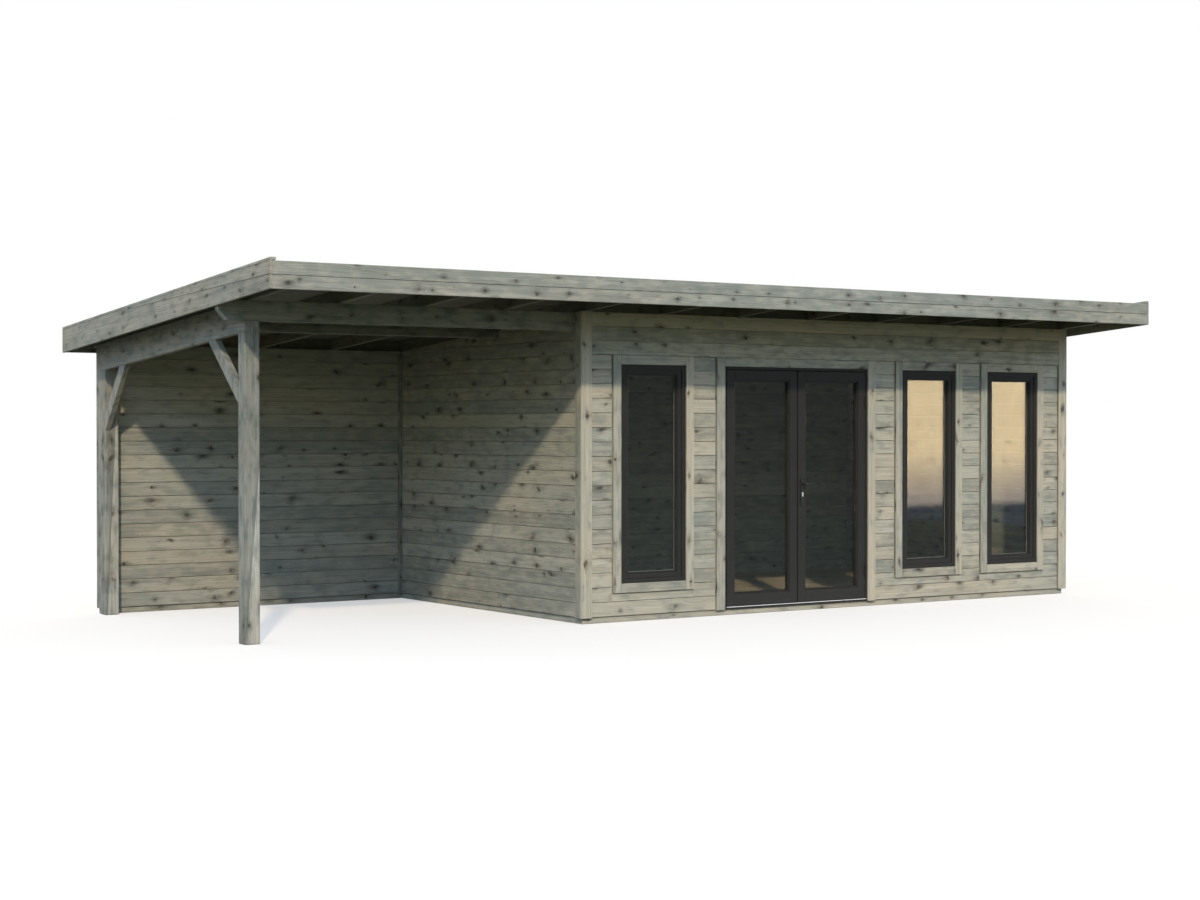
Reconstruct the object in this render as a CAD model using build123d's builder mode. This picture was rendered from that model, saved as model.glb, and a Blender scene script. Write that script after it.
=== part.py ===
from build123d import *

import os
from math import cos, radians, sin, tan

# A timber garden room with a pent roof and an open covered terrace on its left.
# Millimetres, +Z up. The origin lies on the ground under the middle of the roof,
# +X runs along the front to the right and +Y runs from the front to the back.

os.makedirs("parts", exist_ok=True)

# Plan of the building, over the wall frames
cabin_length = 5300
cabin_depth = 3000
terrace_length = 2800
front_overhang = 830
back_overhang = 200
side_overhang = 220

# Heights of the walls and fall of the roof
sill_height = 45
front_wall_height = 2431
roof_pitch = 4.284
header_bottom = 2100

# Thicknesses of the wall layers
stud_depth = 58
cladding_thickness = 14
trim_thickness = 16

# Corner boards
corner_front_width = 100
corner_side_width = 90
corner_lath = 28
corner_lath_drop = 28

# Floor
joist_width = 45
joist_bays = 9
floor_thickness = 19

# Stretches of bare wall between corner boards and casings, as shares of what they leave free
pier_shares = (0.185, 0.212, 0.212, 0.211, 0.180)

# Windows
window_width = 635
window_height = 1725
casing_width = 75
casing_rail = 73
window_frame_face = 36
window_frame_proud = 4
sash_face = 40
sash_setback = 8
sash_depth = 56
glass_thickness = 14
glass_setback = 32
bead_splay = 9

# Double door
door_width = 1540
door_casing_width = 83
door_jamb_face = 20
door_frame_proud = 2
door_stop_face = 14
door_bottom_rise = 17
threshold_thickness = 5
threshold_lip = 12
threshold_nosing = 3
leaf_thickness = 56
leaf_gap = 6
meeting_gap = 10
stile_width = 81
top_rail = 81
bottom_rail = 96

# Hinges of the door leaves
hinge_radius = 8
hinge_pin_radius = 4
hinge_offset = 10
hinge_height = 100
hinge_flap_width = 21
hinge_flap_thickness = 3
hinge_play = 0.3
hinge_shares = (0.12, 0.87)

# Lever handle on the right leaf
handle_height = 1060
handle_plate_width = 36
handle_plate_height = 230
handle_plate_thickness = 8
handle_plate_corner = 9
handle_plate_rise = 45
lever_radius = 9
lever_neck = 42
lever_length = 115
lever_bend = 18
lever_nose = 5
lock_radius = 8.5
lock_web = 10
lock_height = 36
lock_drop = 80
lock_proud = 5

# Terrace posts, beams and braces
post_size = 115
post_setback = 65
post_arris = 5
front_beam_height = 145
front_beam_thickness = 58
front_beam_tail = 200
beam_tail_cut = 75
beam_tail_run = 60
side_beam_height = 220
side_beam_thickness = 45
purlin_height = 70
purlin_thickness = 45
purlin_share = 0.417
brace_width = 95
brace_length = 700
brace_lean = 45

# Roof
rafter_width = 45
rafter_height = 95
terrace_bays = 4
cabin_bays = 7
deck_thickness = 18
felt_thickness = 4
blocking_thickness = 20
fascia_thickness = 20
fascia_board = 95
fascia_drop = 45
side_joint_share = 0.72
edge_strip_width = 45
edge_strip_height = 20

# One overrun serves all cuts
overrun = 10

# Places worked out from the plan
cabin_right = (cabin_length + terrace_length) / 2
cabin_left = cabin_right - cabin_length
terrace_left = cabin_left - terrace_length
roof_left = terrace_left - side_overhang
roof_right = cabin_right + side_overhang
roof_depth = cabin_depth + front_overhang + back_overhang
roof_front = -roof_depth / 2
roof_back = roof_depth / 2
front_y = roof_front + front_overhang
back_y = front_y + cabin_depth

# Faces of the walls
front_face = front_y - cladding_thickness
front_trim_face = front_face - trim_thickness
front_inside = front_y + stud_depth
back_inside = back_y - stud_depth
back_face = back_y + cladding_thickness
terrace_wall_face = back_inside - cladding_thickness
left_face = cabin_left - cladding_thickness
left_inside = cabin_left + stud_depth
right_inside = cabin_right - stud_depth
right_face = cabin_right + cladding_thickness
terrace_wall_end = terrace_left + trim_thickness

# Heights along the roof slope, counted upright from the rafters' underside
roof_fall = tan(radians(roof_pitch))
rafter_rise = rafter_height / cos(radians(roof_pitch))
deck_rise = rafter_rise + deck_thickness
felt_rise = deck_rise + felt_thickness
fascia_height = fascia_board + fascia_board
fascia_rise = fascia_height - fascia_drop

# Openings in the front wall
window_top = header_bottom - casing_rail
window_bottom = window_top - window_height
header_left = left_face - trim_thickness + corner_front_width
header_right = right_face + trim_thickness - corner_front_width
window_span = window_width + casing_width + casing_width
door_span = door_width + door_casing_width + door_casing_width
front_spans = {"left": window_span, "door": door_span, "middle": window_span, "right": window_span}
free_wall = header_right - header_left - sum(front_spans.values())
front_centres = {}
span_end = header_left
for pier_share, (name, span) in zip(pier_shares, front_spans.items()):
    span_start = span_end + free_wall * pier_share
    span_end = span_start + span
    front_centres[name] = (span_start + span_end) / 2
window_centres = {name: front_centres[name] for name in ("left", "middle", "right")}
door_centre = front_centres["door"]
door_left = door_centre - door_width / 2
door_right = door_centre + door_width / 2
door_top = window_top


def under_rafters(y):
    """Height of the rafters' underside at the place y across the roof."""
    return front_wall_height - roof_fall * (y - front_y)


def plan(x_low, x_high, y_low, y_high, z):
    """Rectangle seen from above, at the height z."""
    with BuildSketch(Plane.XY.offset(z)) as outline:
        with Locations(((x_low + x_high) / 2, (y_low + y_high) / 2)):
            Rectangle(x_high - x_low, y_high - y_low)
    return outline.sketch


def elevation(x_low, x_high, z_low, z_high, y):
    """Rectangle seen from the front, on the plane at y; it extrudes towards the front."""
    with BuildSketch(Plane.XZ.offset(-y)) as outline:
        with Locations(((x_low + x_high) / 2, (z_low + z_high) / 2)):
            Rectangle(x_high - x_low, z_high - z_low)
    return outline.sketch


def ring(x_low, x_high, z_low, z_high, side, bottom, top, y):
    """Rectangular frame seen from the front, with its borders' widths, on the plane at y."""
    with BuildSketch(Plane.XZ.offset(-y)) as outline:
        with Locations(((x_low + x_high) / 2, (z_low + z_high) / 2)):
            Rectangle(x_high - x_low, z_high - z_low)
        with Locations(((x_low + x_high) / 2, (z_low + bottom + z_high - top) / 2)):
            Rectangle(x_high - x_low - side - side, z_high - z_low - bottom - top, mode=Mode.SUBTRACT)
    return outline.sketch


def side_profile(x, *points):
    """Closed outline of (y, z) points seen from the side, at x; it extrudes to the right."""
    with BuildSketch(Plane.YZ.offset(x)) as outline:
        with BuildLine():
            Polyline(*points, close=True)
        make_face()
    return outline.sketch


def upright(x, y_low, y_high, z_low):
    """Side view of an upright panel: level at its foot and cut to the roof slope at its top."""
    return side_profile(
        x,
        (y_low, z_low),
        (y_high, z_low),
        (y_high, under_rafters(y_high)),
        (y_low, under_rafters(y_low)),
    )


def slope_band(x, y_low, y_high, rise_low, rise_high):
    """Side view of a band along the roof slope, between two heights over the rafters' underside."""
    return side_profile(
        x,
        (y_low, under_rafters(y_low) + rise_low),
        (y_high, under_rafters(y_high) + rise_low),
        (y_high, under_rafters(y_high) + rise_high),
        (y_low, under_rafters(y_low) + rise_high),
    )


def splayed_cut(x_low, x_high, z_low, z_high, glass_y, face_y):
    """Cut an opening that widens from the pane out to the face, beside its splayed beads."""
    at_glass = elevation(x_low, x_high, z_low, z_high, glass_y)
    at_face = elevation(
        x_low - bead_splay,
        x_high + bead_splay,
        z_low - bead_splay,
        z_high + bead_splay,
        face_y,
    )
    loft([at_glass, at_face], ruled=True, mode=Mode.SUBTRACT)


def save(builder, name):
    """Label a finished piece and write it to its own file."""
    builder.part.label = name
    export_step(builder.part, f"parts/{name}.step")


# Sills on the ground under the wall frames
with BuildPart() as long_sills:
    extrude(plan(cabin_left, cabin_right, front_y, front_inside, 0), amount=sill_height)
    extrude(plan(terrace_wall_end, cabin_right, back_inside, back_y, 0), amount=sill_height)
save(long_sills, "long_sills")

with BuildPart() as side_sills:
    extrude(plan(cabin_left, left_inside, front_inside, back_inside, 0), amount=sill_height)
    extrude(plan(right_inside, cabin_right, front_inside, back_inside, 0), amount=sill_height)
save(side_sills, "side_sills")

# Floor of the cabin: joists between the sills, boards over them
joist_pitch = (right_inside - left_inside) / joist_bays
with BuildPart() as floor_joists:
    for bay in range(1, joist_bays):
        joist_left = left_inside + joist_pitch * bay - joist_width / 2
        extrude(plan(joist_left, joist_left + joist_width, front_inside, back_inside, 0), amount=sill_height)
save(floor_joists, "floor_joists")

with BuildPart() as floor_boards:
    extrude(plan(left_inside, right_inside, front_inside, back_inside, sill_height), amount=floor_thickness)
save(floor_boards, "floor_boards")


def window_openings(names):
    """Front views of the named windows' openings, on the wall's inside."""
    return [
        elevation(
            window_centres[name] - window_width / 2,
            window_centres[name] + window_width / 2,
            window_bottom,
            window_top,
            front_inside + overrun,
        )
        for name in names
    ]


# Front wall, split beside and over the doorway
front_wall_cut = stud_depth + cladding_thickness + overrun + overrun
with BuildPart() as front_wall_left:
    extrude(upright(left_face, front_face, front_inside, sill_height), amount=door_left - left_face)
    for opening in window_openings(["left"]):
        extrude(opening, amount=front_wall_cut, mode=Mode.SUBTRACT)
save(front_wall_left, "front_wall_left")

with BuildPart() as front_wall_right:
    extrude(upright(door_right, front_face, front_inside, sill_height), amount=right_face - door_right)
    for opening in window_openings(["middle", "right"]):
        extrude(opening, amount=front_wall_cut, mode=Mode.SUBTRACT)
save(front_wall_right, "front_wall_right")

with BuildPart() as front_wall_over_door:
    extrude(upright(door_left, front_face, front_inside, door_top), amount=door_width)
save(front_wall_over_door, "front_wall_over_door")

# Side walls stand between the front and back walls
with BuildPart() as left_wall:
    extrude(upright(left_face, front_inside, back_inside, sill_height), amount=left_inside - left_face)
save(left_wall, "left_wall")

with BuildPart() as right_wall:
    extrude(upright(right_inside, front_inside, back_inside, sill_height), amount=right_face - right_inside)
save(right_wall, "right_wall")

# Back walls of the cabin and of the terrace, the second boarded on both faces
with BuildPart() as back_wall:
    extrude(upright(left_face, back_inside, back_face, sill_height), amount=right_face - left_face)
save(back_wall, "back_wall")

with BuildPart() as terrace_back_wall:
    extrude(
        upright(terrace_wall_end, terrace_wall_face, back_face, sill_height),
        amount=left_face - terrace_wall_end,
    )
save(terrace_back_wall, "terrace_back_wall")

# Boards over the heads of the door and windows, flush with their casings
with BuildPart() as header_boards:
    extrude(upright(header_left, front_trim_face, front_face, header_bottom), amount=header_right - header_left)
save(header_boards, "header_boards")

# Corner boards, each a front board lapped over a side board
with BuildPart() as front_corner_trims:
    for corner_x, side in ((left_face, 1), (right_face, -1)):
        outer_x = corner_x - side * trim_thickness
        front_board_end = outer_x + side * corner_front_width
        side_board_end = front_trim_face + corner_side_width
        with BuildSketch(Plane.XY.offset(sill_height)):
            with BuildLine():
                Polyline(
                    (outer_x, front_trim_face),
                    (front_board_end, front_trim_face),
                    (front_board_end, front_face),
                    (corner_x, front_face),
                    (corner_x, side_board_end),
                    (outer_x, side_board_end),
                    close=True,
                )
            make_face()
        extrude(amount=front_wall_height)
    with BuildSketch(Plane.YZ.offset(roof_left)):
        with BuildLine():
            Polyline(
                (roof_front, under_rafters(roof_front)),
                (roof_back, under_rafters(roof_back)),
                (roof_back, front_wall_height + front_wall_height),
                (roof_front, front_wall_height + front_wall_height),
                close=True,
            )
        make_face()
    extrude(amount=roof_right - roof_left, mode=Mode.SUBTRACT)
save(front_corner_trims, "front_corner_trims")

with BuildPart() as back_corner_trim:
    trim_back = back_face + trim_thickness
    trim_right = right_face + trim_thickness
    extrude(upright(right_face, trim_back - corner_side_width, trim_back, sill_height), amount=trim_thickness)
    extrude(
        upright(trim_right - corner_front_width, back_face, trim_back, sill_height),
        amount=corner_front_width,
    )
save(back_corner_trim, "back_corner_trim")

with BuildPart() as terrace_end_trim:
    extrude(upright(terrace_left, terrace_wall_face, back_face, sill_height), amount=trim_thickness)
save(terrace_end_trim, "terrace_end_trim")

with BuildPart() as inner_corner_lath:
    lath_front = terrace_wall_face - corner_lath
    lath_top = under_rafters(terrace_wall_face) - corner_lath_drop
    extrude(
        plan(left_face - corner_lath, left_face, lath_front, terrace_wall_face, sill_height),
        amount=lath_top - sill_height,
    )
save(inner_corner_lath, "inner_corner_lath")

# Windows: an outer frame and a sash set back in it, a splayed bead, and a pane
window_frame_front = front_face - window_frame_proud
sash_front = window_frame_front + sash_setback
sash_back = sash_front + sash_depth
pane_front = sash_front + glass_setback
pane_back = pane_front + glass_thickness
sash_outset = window_frame_face
sash_border = sash_face + bead_splay
pane_inset = window_frame_face + sash_border

for name, centre in window_centres.items():
    window_left = centre - window_width / 2
    window_right = centre + window_width / 2

    with BuildPart() as window_frame:
        extrude(
            ring(
                window_left,
                window_right,
                window_bottom,
                window_top,
                window_frame_face,
                window_frame_face,
                window_frame_face,
                front_inside,
            ),
            amount=front_inside - window_frame_front,
        )
        extrude(
            ring(
                window_left + sash_outset,
                window_right - sash_outset,
                window_bottom + sash_outset,
                window_top - sash_outset,
                sash_border,
                sash_border,
                sash_border,
                sash_back,
            ),
            amount=sash_depth,
        )
        splayed_cut(
            window_left + pane_inset,
            window_right - pane_inset,
            window_bottom + pane_inset,
            window_top - pane_inset,
            pane_front,
            sash_front,
        )
    save(window_frame, f"{name}_window_frame")

    with BuildPart() as window_pane:
        extrude(
            elevation(
                window_left + pane_inset,
                window_right - pane_inset,
                window_bottom + pane_inset,
                window_top - pane_inset,
                pane_back,
            ),
            amount=glass_thickness,
        )
    save(window_pane, f"{name}_window_pane")

with BuildPart() as window_casings:
    for centre in window_centres.values():
        extrude(
            ring(
                centre - window_width / 2 - casing_width,
                centre + window_width / 2 + casing_width,
                window_bottom - casing_rail,
                header_bottom,
                casing_width,
                casing_rail,
                casing_rail,
                front_face,
            ),
            amount=trim_thickness,
        )
save(window_casings, "window_casings")

# Door set: casing, frame with its stop, and a metal threshold strip
door_frame_front = front_face - door_frame_proud
leaf_front = door_frame_front
leaf_back = leaf_front + leaf_thickness
stop_front = leaf_back + leaf_gap
door_sill_top = sill_height + door_bottom_rise
threshold_top = door_sill_top + threshold_thickness
door_head = door_top - door_jamb_face

with BuildPart() as door_casing:
    extrude(
        elevation(
            door_left - door_casing_width,
            door_right + door_casing_width,
            sill_height,
            header_bottom,
            front_face,
        ),
        amount=trim_thickness,
    )
    extrude(
        elevation(door_left, door_right, sill_height - overrun, door_top, front_face + overrun),
        amount=trim_thickness + overrun + overrun,
        mode=Mode.SUBTRACT,
    )
save(door_casing, "door_casing")

with BuildPart() as door_frame:
    extrude(
        ring(
            door_left,
            door_right,
            sill_height,
            door_top,
            door_jamb_face,
            door_bottom_rise,
            door_jamb_face,
            front_inside,
        ),
        amount=front_inside - door_frame_front,
    )
    stop_width = door_jamb_face + door_stop_face
    extrude(
        ring(
            door_left,
            door_right,
            sill_height,
            door_top,
            stop_width,
            door_bottom_rise,
            stop_width,
            front_inside,
        ),
        amount=front_inside - stop_front,
    )
save(door_frame, "door_frame")

with BuildPart() as door_threshold:
    extrude(
        plan(
            door_left + door_jamb_face,
            door_right - door_jamb_face,
            door_frame_front - threshold_lip,
            stop_front,
            door_sill_top,
        ),
        amount=threshold_thickness,
    )
    lip_edges = door_threshold.edges().filter_by(Axis.X).group_by(Axis.Y)[0]
    chamfer(lip_edges.sort_by(Axis.Z)[-1], length=threshold_nosing)
save(door_threshold, "door_threshold")

# Leaves of the double door, each with its pane and its halves of the hinges
leaf_bottom = threshold_top + leaf_gap
leaf_top = door_head - leaf_gap
leaf_height = leaf_top - leaf_bottom
leaf_pane_front = leaf_front + glass_setback
leaf_pane_back = leaf_pane_front + glass_thickness
hinge_axis_y = leaf_front - hinge_offset
knuckle_height = (hinge_height - hinge_play - hinge_play) / 3
hinge_bottoms = [leaf_bottom + leaf_height * share - hinge_height / 2 for share in hinge_shares]
leaf_sides = {
    "left": (door_left + door_jamb_face + leaf_gap, door_centre - meeting_gap / 2),
    "right": (door_centre + meeting_gap / 2, door_right - door_jamb_face - leaf_gap),
}
hinge_axes = {
    "left": leaf_sides["left"][0] - leaf_gap / 2,
    "right": leaf_sides["right"][1] + leaf_gap / 2,
}
inward = {"left": 1, "right": -1}


def knuckle(axis_x, z, height, bore, flap_way):
    """Add one hinge knuckle with its flap, bored where a bore radius is given."""
    flap_end = axis_x + flap_way * hinge_flap_width
    with BuildSketch(Plane.XY.offset(z)) as section:
        with Locations((axis_x, hinge_axis_y)):
            Circle(hinge_radius)
        with Locations(((axis_x + flap_end) / 2, leaf_front - hinge_flap_thickness / 2)):
            Rectangle(hinge_flap_width, hinge_flap_thickness)
        if bore:
            with Locations((axis_x, hinge_axis_y)):
                Circle(bore, mode=Mode.SUBTRACT)
    extrude(section.sketch, amount=height)


for name, (leaf_left, leaf_right) in leaf_sides.items():
    glass_left = leaf_left + stile_width + bead_splay
    glass_right = leaf_right - stile_width - bead_splay
    glass_bottom = leaf_bottom + bottom_rail + bead_splay
    glass_top = leaf_top - top_rail - bead_splay

    with BuildPart() as door_leaf:
        extrude(
            ring(
                leaf_left,
                leaf_right,
                leaf_bottom,
                leaf_top,
                stile_width + bead_splay,
                bottom_rail + bead_splay,
                top_rail + bead_splay,
                leaf_back,
            ),
            amount=leaf_thickness,
        )
        splayed_cut(glass_left, glass_right, glass_bottom, glass_top, leaf_pane_front, leaf_front)
    save(door_leaf, f"{name}_door_leaf")

    with BuildPart() as door_pane:
        extrude(
            elevation(glass_left, glass_right, glass_bottom, glass_top, leaf_pane_back),
            amount=glass_thickness,
        )
    save(door_pane, f"{name}_door_pane")

    with BuildPart() as leaf_hinges:
        for hinge_bottom in hinge_bottoms:
            knuckle(
                hinge_axes[name],
                hinge_bottom + knuckle_height + hinge_play,
                knuckle_height,
                hinge_pin_radius + hinge_play,
                inward[name],
            )
    save(leaf_hinges, f"{name}_door_hinges")

with BuildPart() as frame_hinges:
    for name, axis_x in hinge_axes.items():
        for hinge_bottom in hinge_bottoms:
            knuckle(axis_x, hinge_bottom, knuckle_height, 0, -inward[name])
            knuckle(
                axis_x,
                hinge_bottom + hinge_height - knuckle_height,
                knuckle_height,
                0,
                -inward[name],
            )
            with BuildSketch(Plane.XY.offset(hinge_bottom)):
                with Locations((axis_x, hinge_axis_y)):
                    Circle(hinge_pin_radius)
            extrude(amount=hinge_height)
save(frame_hinges, "frame_hinges")

# Lever handles on both faces of the right leaf, and the lock cylinder through it
handle_x = leaf_sides["right"][0] + stile_width / 2
plate_top = handle_height + handle_plate_rise
plate_bottom = plate_top - handle_plate_height
lever_end = handle_x + lever_length - lever_radius


def lock_profile(x, clearance, mode):
    """Draw the lock cylinder's front view about x: a round barrel with a narrower web under it."""
    barrel_z = handle_height - lock_drop
    web_reach = lock_height - lock_radius - lock_web / 2
    with Locations((x, barrel_z)):
        Circle(lock_radius + clearance, mode=mode)
    with Locations((x, barrel_z - web_reach / 2)):
        SlotCenterToCenter(web_reach, lock_web + clearance + clearance, rotation=90, mode=mode)


with BuildPart() as door_handles:
    for face_y, way in ((leaf_front, 1), (leaf_back, -1)):
        lever_y = face_y - way * (handle_plate_thickness + lever_neck)
        with BuildSketch(Plane((handle_x, face_y, 0), x_dir=(way, 0, 0), z_dir=(0, -way, 0))):
            with Locations((0, (plate_top + plate_bottom) / 2)):
                RectangleRounded(handle_plate_width, handle_plate_height, handle_plate_corner)
            lock_profile(0, hinge_play, Mode.SUBTRACT)
        extrude(amount=handle_plate_thickness)
        with BuildLine():
            FilletPolyline(
                (handle_x, face_y, handle_height),
                (handle_x, lever_y, handle_height),
                (lever_end, lever_y, handle_height),
                radius=lever_bend,
            )
        with BuildSketch(Plane((handle_x, face_y, handle_height), z_dir=(0, -way, 0))):
            Circle(lever_radius)
        sweep()
    lever_tips = door_handles.edges().filter_by(GeomType.CIRCLE).group_by(Axis.X)[-1]
    fillet(lever_tips, radius=lever_nose)
save(door_handles, "door_handles")

with BuildPart() as lock_cylinder:
    lock_end = handle_plate_thickness + lock_proud
    for face_y, way in ((leaf_front, 1), (leaf_back, -1)):
        with BuildSketch(Plane.XZ.offset(-face_y)):
            lock_profile(handle_x, 0, Mode.ADD)
        extrude(amount=way * lock_end)
save(lock_cylinder, "lock_cylinder")

# Terrace frame: posts, beams lapped into them, and braces in the plane of the side beam
post_right = terrace_left + post_size
front_post_front = front_y + post_setback
front_post_back = front_post_front + post_size
back_post_back = terrace_wall_face
back_post_front = back_post_back - post_size
front_beam_back = front_post_front + front_beam_thickness
front_beam_bottom = under_rafters(front_post_front) - front_beam_height
side_beam_inner = terrace_left + side_beam_thickness

with BuildPart() as front_post:
    extrude(
        plan(terrace_left, post_right, front_post_front, front_post_back, 0),
        amount=front_beam_bottom,
    )
    foot_edges = front_post.edges().group_by(Axis.Z)[0]
    chamfer(front_post.edges().filter_by(Axis.Z) + foot_edges, length=post_arris)
    extrude(
        slope_band(
            terrace_left - overrun,
            front_post_front - overrun,
            front_post_back + overrun,
            -side_beam_height,
            overrun,
        ),
        amount=side_beam_thickness + overrun,
        mode=Mode.SUBTRACT,
    )
save(front_post, "front_post")

with BuildPart() as back_post:
    extrude(upright(terrace_left, back_post_front, back_post_back, 0), amount=post_size)
    foot_edges = back_post.edges().group_by(Axis.Z)[0]
    chamfer(back_post.edges().filter_by(Axis.Z) + foot_edges, length=post_arris)
    extrude(
        slope_band(
            terrace_left - overrun,
            back_post_front - overrun,
            back_post_back + overrun,
            -side_beam_height,
            overrun,
        ),
        amount=side_beam_thickness + overrun,
        mode=Mode.SUBTRACT,
    )
save(back_post, "back_post")

with BuildPart() as front_beam:
    beam_left = terrace_left - front_beam_tail
    extrude(
        upright(beam_left, front_post_front, front_beam_back, front_beam_bottom),
        amount=left_face - beam_left,
    )
    with BuildSketch(Plane.XZ.offset(-front_beam_back - overrun)):
        with BuildLine():
            Polyline(
                (beam_left, front_beam_bottom),
                (beam_left + beam_tail_run, front_beam_bottom),
                (beam_left, front_beam_bottom + beam_tail_cut),
                close=True,
            )
        make_face()
    extrude(amount=front_beam_thickness + overrun + overrun, mode=Mode.SUBTRACT)
save(front_beam, "front_beam")

with BuildPart() as side_beam:
    extrude(
        side_profile(
            terrace_left,
            (front_post_front, under_rafters(front_post_front) - side_beam_height),
            (back_post_back, under_rafters(back_post_back) - side_beam_height),
            (back_post_back, under_rafters(back_post_back)),
            (front_beam_back, under_rafters(front_beam_back)),
            (front_beam_back, front_beam_bottom),
            (front_post_front, front_beam_bottom),
        ),
        amount=side_beam_thickness,
    )
save(side_beam, "side_beam")

with BuildPart() as mid_purlin:
    purlin_front = front_y + cabin_depth * purlin_share
    extrude(
        slope_band(side_beam_inner, purlin_front, purlin_front + purlin_thickness, -purlin_height, 0),
        amount=left_face - side_beam_inner,
    )
save(mid_purlin, "mid_purlin")


def brace_profile(post_y, way):
    """Side view of a brace from a post's face at post_y up to the side beam, leaning by way."""
    angle = radians(brace_lean - way * roof_pitch)
    fall = way * roof_fall
    beam_at_post = under_rafters(post_y) - side_beam_height
    low_run = brace_length * cos(angle)
    foot = beam_at_post - fall * low_run - brace_length * sin(angle)
    heel = foot + brace_width / cos(angle)
    high_run = (beam_at_post - heel) / (tan(angle) + fall)
    return side_profile(
        terrace_left,
        (post_y, foot),
        (post_y + way * low_run, beam_at_post - fall * low_run),
        (post_y + way * high_run, beam_at_post - fall * high_run),
        (post_y, heel),
    )


with BuildPart() as knee_braces:
    extrude(brace_profile(front_post_back, 1), amount=side_beam_thickness)
    extrude(brace_profile(back_post_front, -1), amount=side_beam_thickness)
save(knee_braces, "knee_braces")

# Roof: rafters, blocking over the walls, deck, felt, fascias and edge strips
deck_left = roof_left + fascia_thickness
deck_right = roof_right - fascia_thickness
deck_front = roof_front + fascia_thickness
deck_back = roof_back - fascia_thickness
first_rafter = side_beam_inner
wall_rafter = cabin_left + stud_depth / 2
last_rafter = cabin_right - stud_depth / 2
terrace_pitch = (wall_rafter - first_rafter) / terrace_bays
cabin_pitch = (last_rafter - wall_rafter) / cabin_bays
terrace_rafters = [first_rafter + terrace_pitch * bay for bay in range(terrace_bays)]
cabin_rafters = [wall_rafter + cabin_pitch * bay for bay in range(cabin_bays + 1)]
rafter_centres = terrace_rafters + cabin_rafters

with BuildPart() as rafters:
    for centre in rafter_centres:
        extrude(
            slope_band(centre - rafter_width / 2, deck_front, deck_back, 0, rafter_rise),
            amount=rafter_width,
        )
save(rafters, "rafters")


def blocking_between(centres, block_front):
    """Add a block between each pair of neighbouring rafters, with its front at block_front."""
    for left_centre, right_centre in zip(centres, centres[1:]):
        block_left = left_centre + rafter_width / 2
        extrude(
            slope_band(block_left, block_front, block_front + blocking_thickness, 0, rafter_rise),
            amount=right_centre - left_centre - rafter_width,
        )


with BuildPart() as eaves_blocking:
    blocking_between(cabin_rafters, front_y)
    blocking_between(rafter_centres, back_y - blocking_thickness)
save(eaves_blocking, "eaves_blocking")

with BuildPart() as roof_deck:
    extrude(
        slope_band(deck_left, deck_front, deck_back, rafter_rise, deck_rise),
        amount=deck_right - deck_left,
    )
save(roof_deck, "roof_deck")

with BuildPart() as roof_felt:
    extrude(
        slope_band(deck_left, deck_front, deck_back, deck_rise, felt_rise),
        amount=deck_right - deck_left,
    )
save(roof_felt, "roof_felt")

front_fascia_bottom = under_rafters(deck_front) - fascia_drop
front_fascia_joint = front_fascia_bottom + fascia_board
for name, board_bottom in (("lower", front_fascia_bottom), ("upper", front_fascia_joint)):
    with BuildPart() as front_fascia:
        extrude(
            elevation(deck_left, deck_right, board_bottom, board_bottom + fascia_board, deck_front),
            amount=fascia_thickness,
        )
    save(front_fascia, f"front_fascia_{name}")

with BuildPart() as back_fascia:
    extrude(
        elevation(
            deck_left,
            deck_right,
            under_rafters(deck_back) - fascia_drop,
            under_rafters(deck_back) + deck_rise,
            roof_back,
        ),
        amount=fascia_thickness,
    )
save(back_fascia, "back_fascia")

# Side fascias: the upper board is a long wedge that runs out at the top edge
joint_start = under_rafters(roof_front) - fascia_drop + fascia_board
joint_end = roof_front + roof_depth * side_joint_share
for name, fascia_left in (("left", roof_left), ("right", deck_right)):
    with BuildPart() as lower_fascia:
        extrude(
            side_profile(
                fascia_left,
                (roof_front, under_rafters(roof_front) - fascia_drop),
                (roof_back, under_rafters(roof_back) - fascia_drop),
                (roof_back, under_rafters(roof_back) + fascia_rise),
                (joint_end, under_rafters(joint_end) + fascia_rise),
                (roof_front, joint_start),
            ),
            amount=fascia_thickness,
        )
    save(lower_fascia, f"{name}_fascia_lower")

    with BuildPart() as upper_fascia:
        extrude(
            side_profile(
                fascia_left,
                (roof_front, joint_start),
                (joint_end, under_rafters(joint_end) + fascia_rise),
                (roof_front, under_rafters(roof_front) + fascia_rise),
            ),
            amount=fascia_thickness,
        )
    save(upper_fascia, f"{name}_fascia_upper")

with BuildPart() as edge_strips:
    for strip_left in (roof_left, roof_right - edge_strip_width):
        extrude(
            slope_band(strip_left, roof_front, roof_back, fascia_rise, fascia_rise + edge_strip_height),
            amount=edge_strip_width,
        )
save(edge_strips, "edge_strips")
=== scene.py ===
"""Finish of a timber garden room with a pent roof and a covered terrace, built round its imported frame."""

import logging
from collections import defaultdict
from collections.abc import Iterable, Sequence
from dataclasses import dataclass, field, replace
from enum import Enum
from math import atan2, cos, hypot, pi, radians, sin

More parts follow.
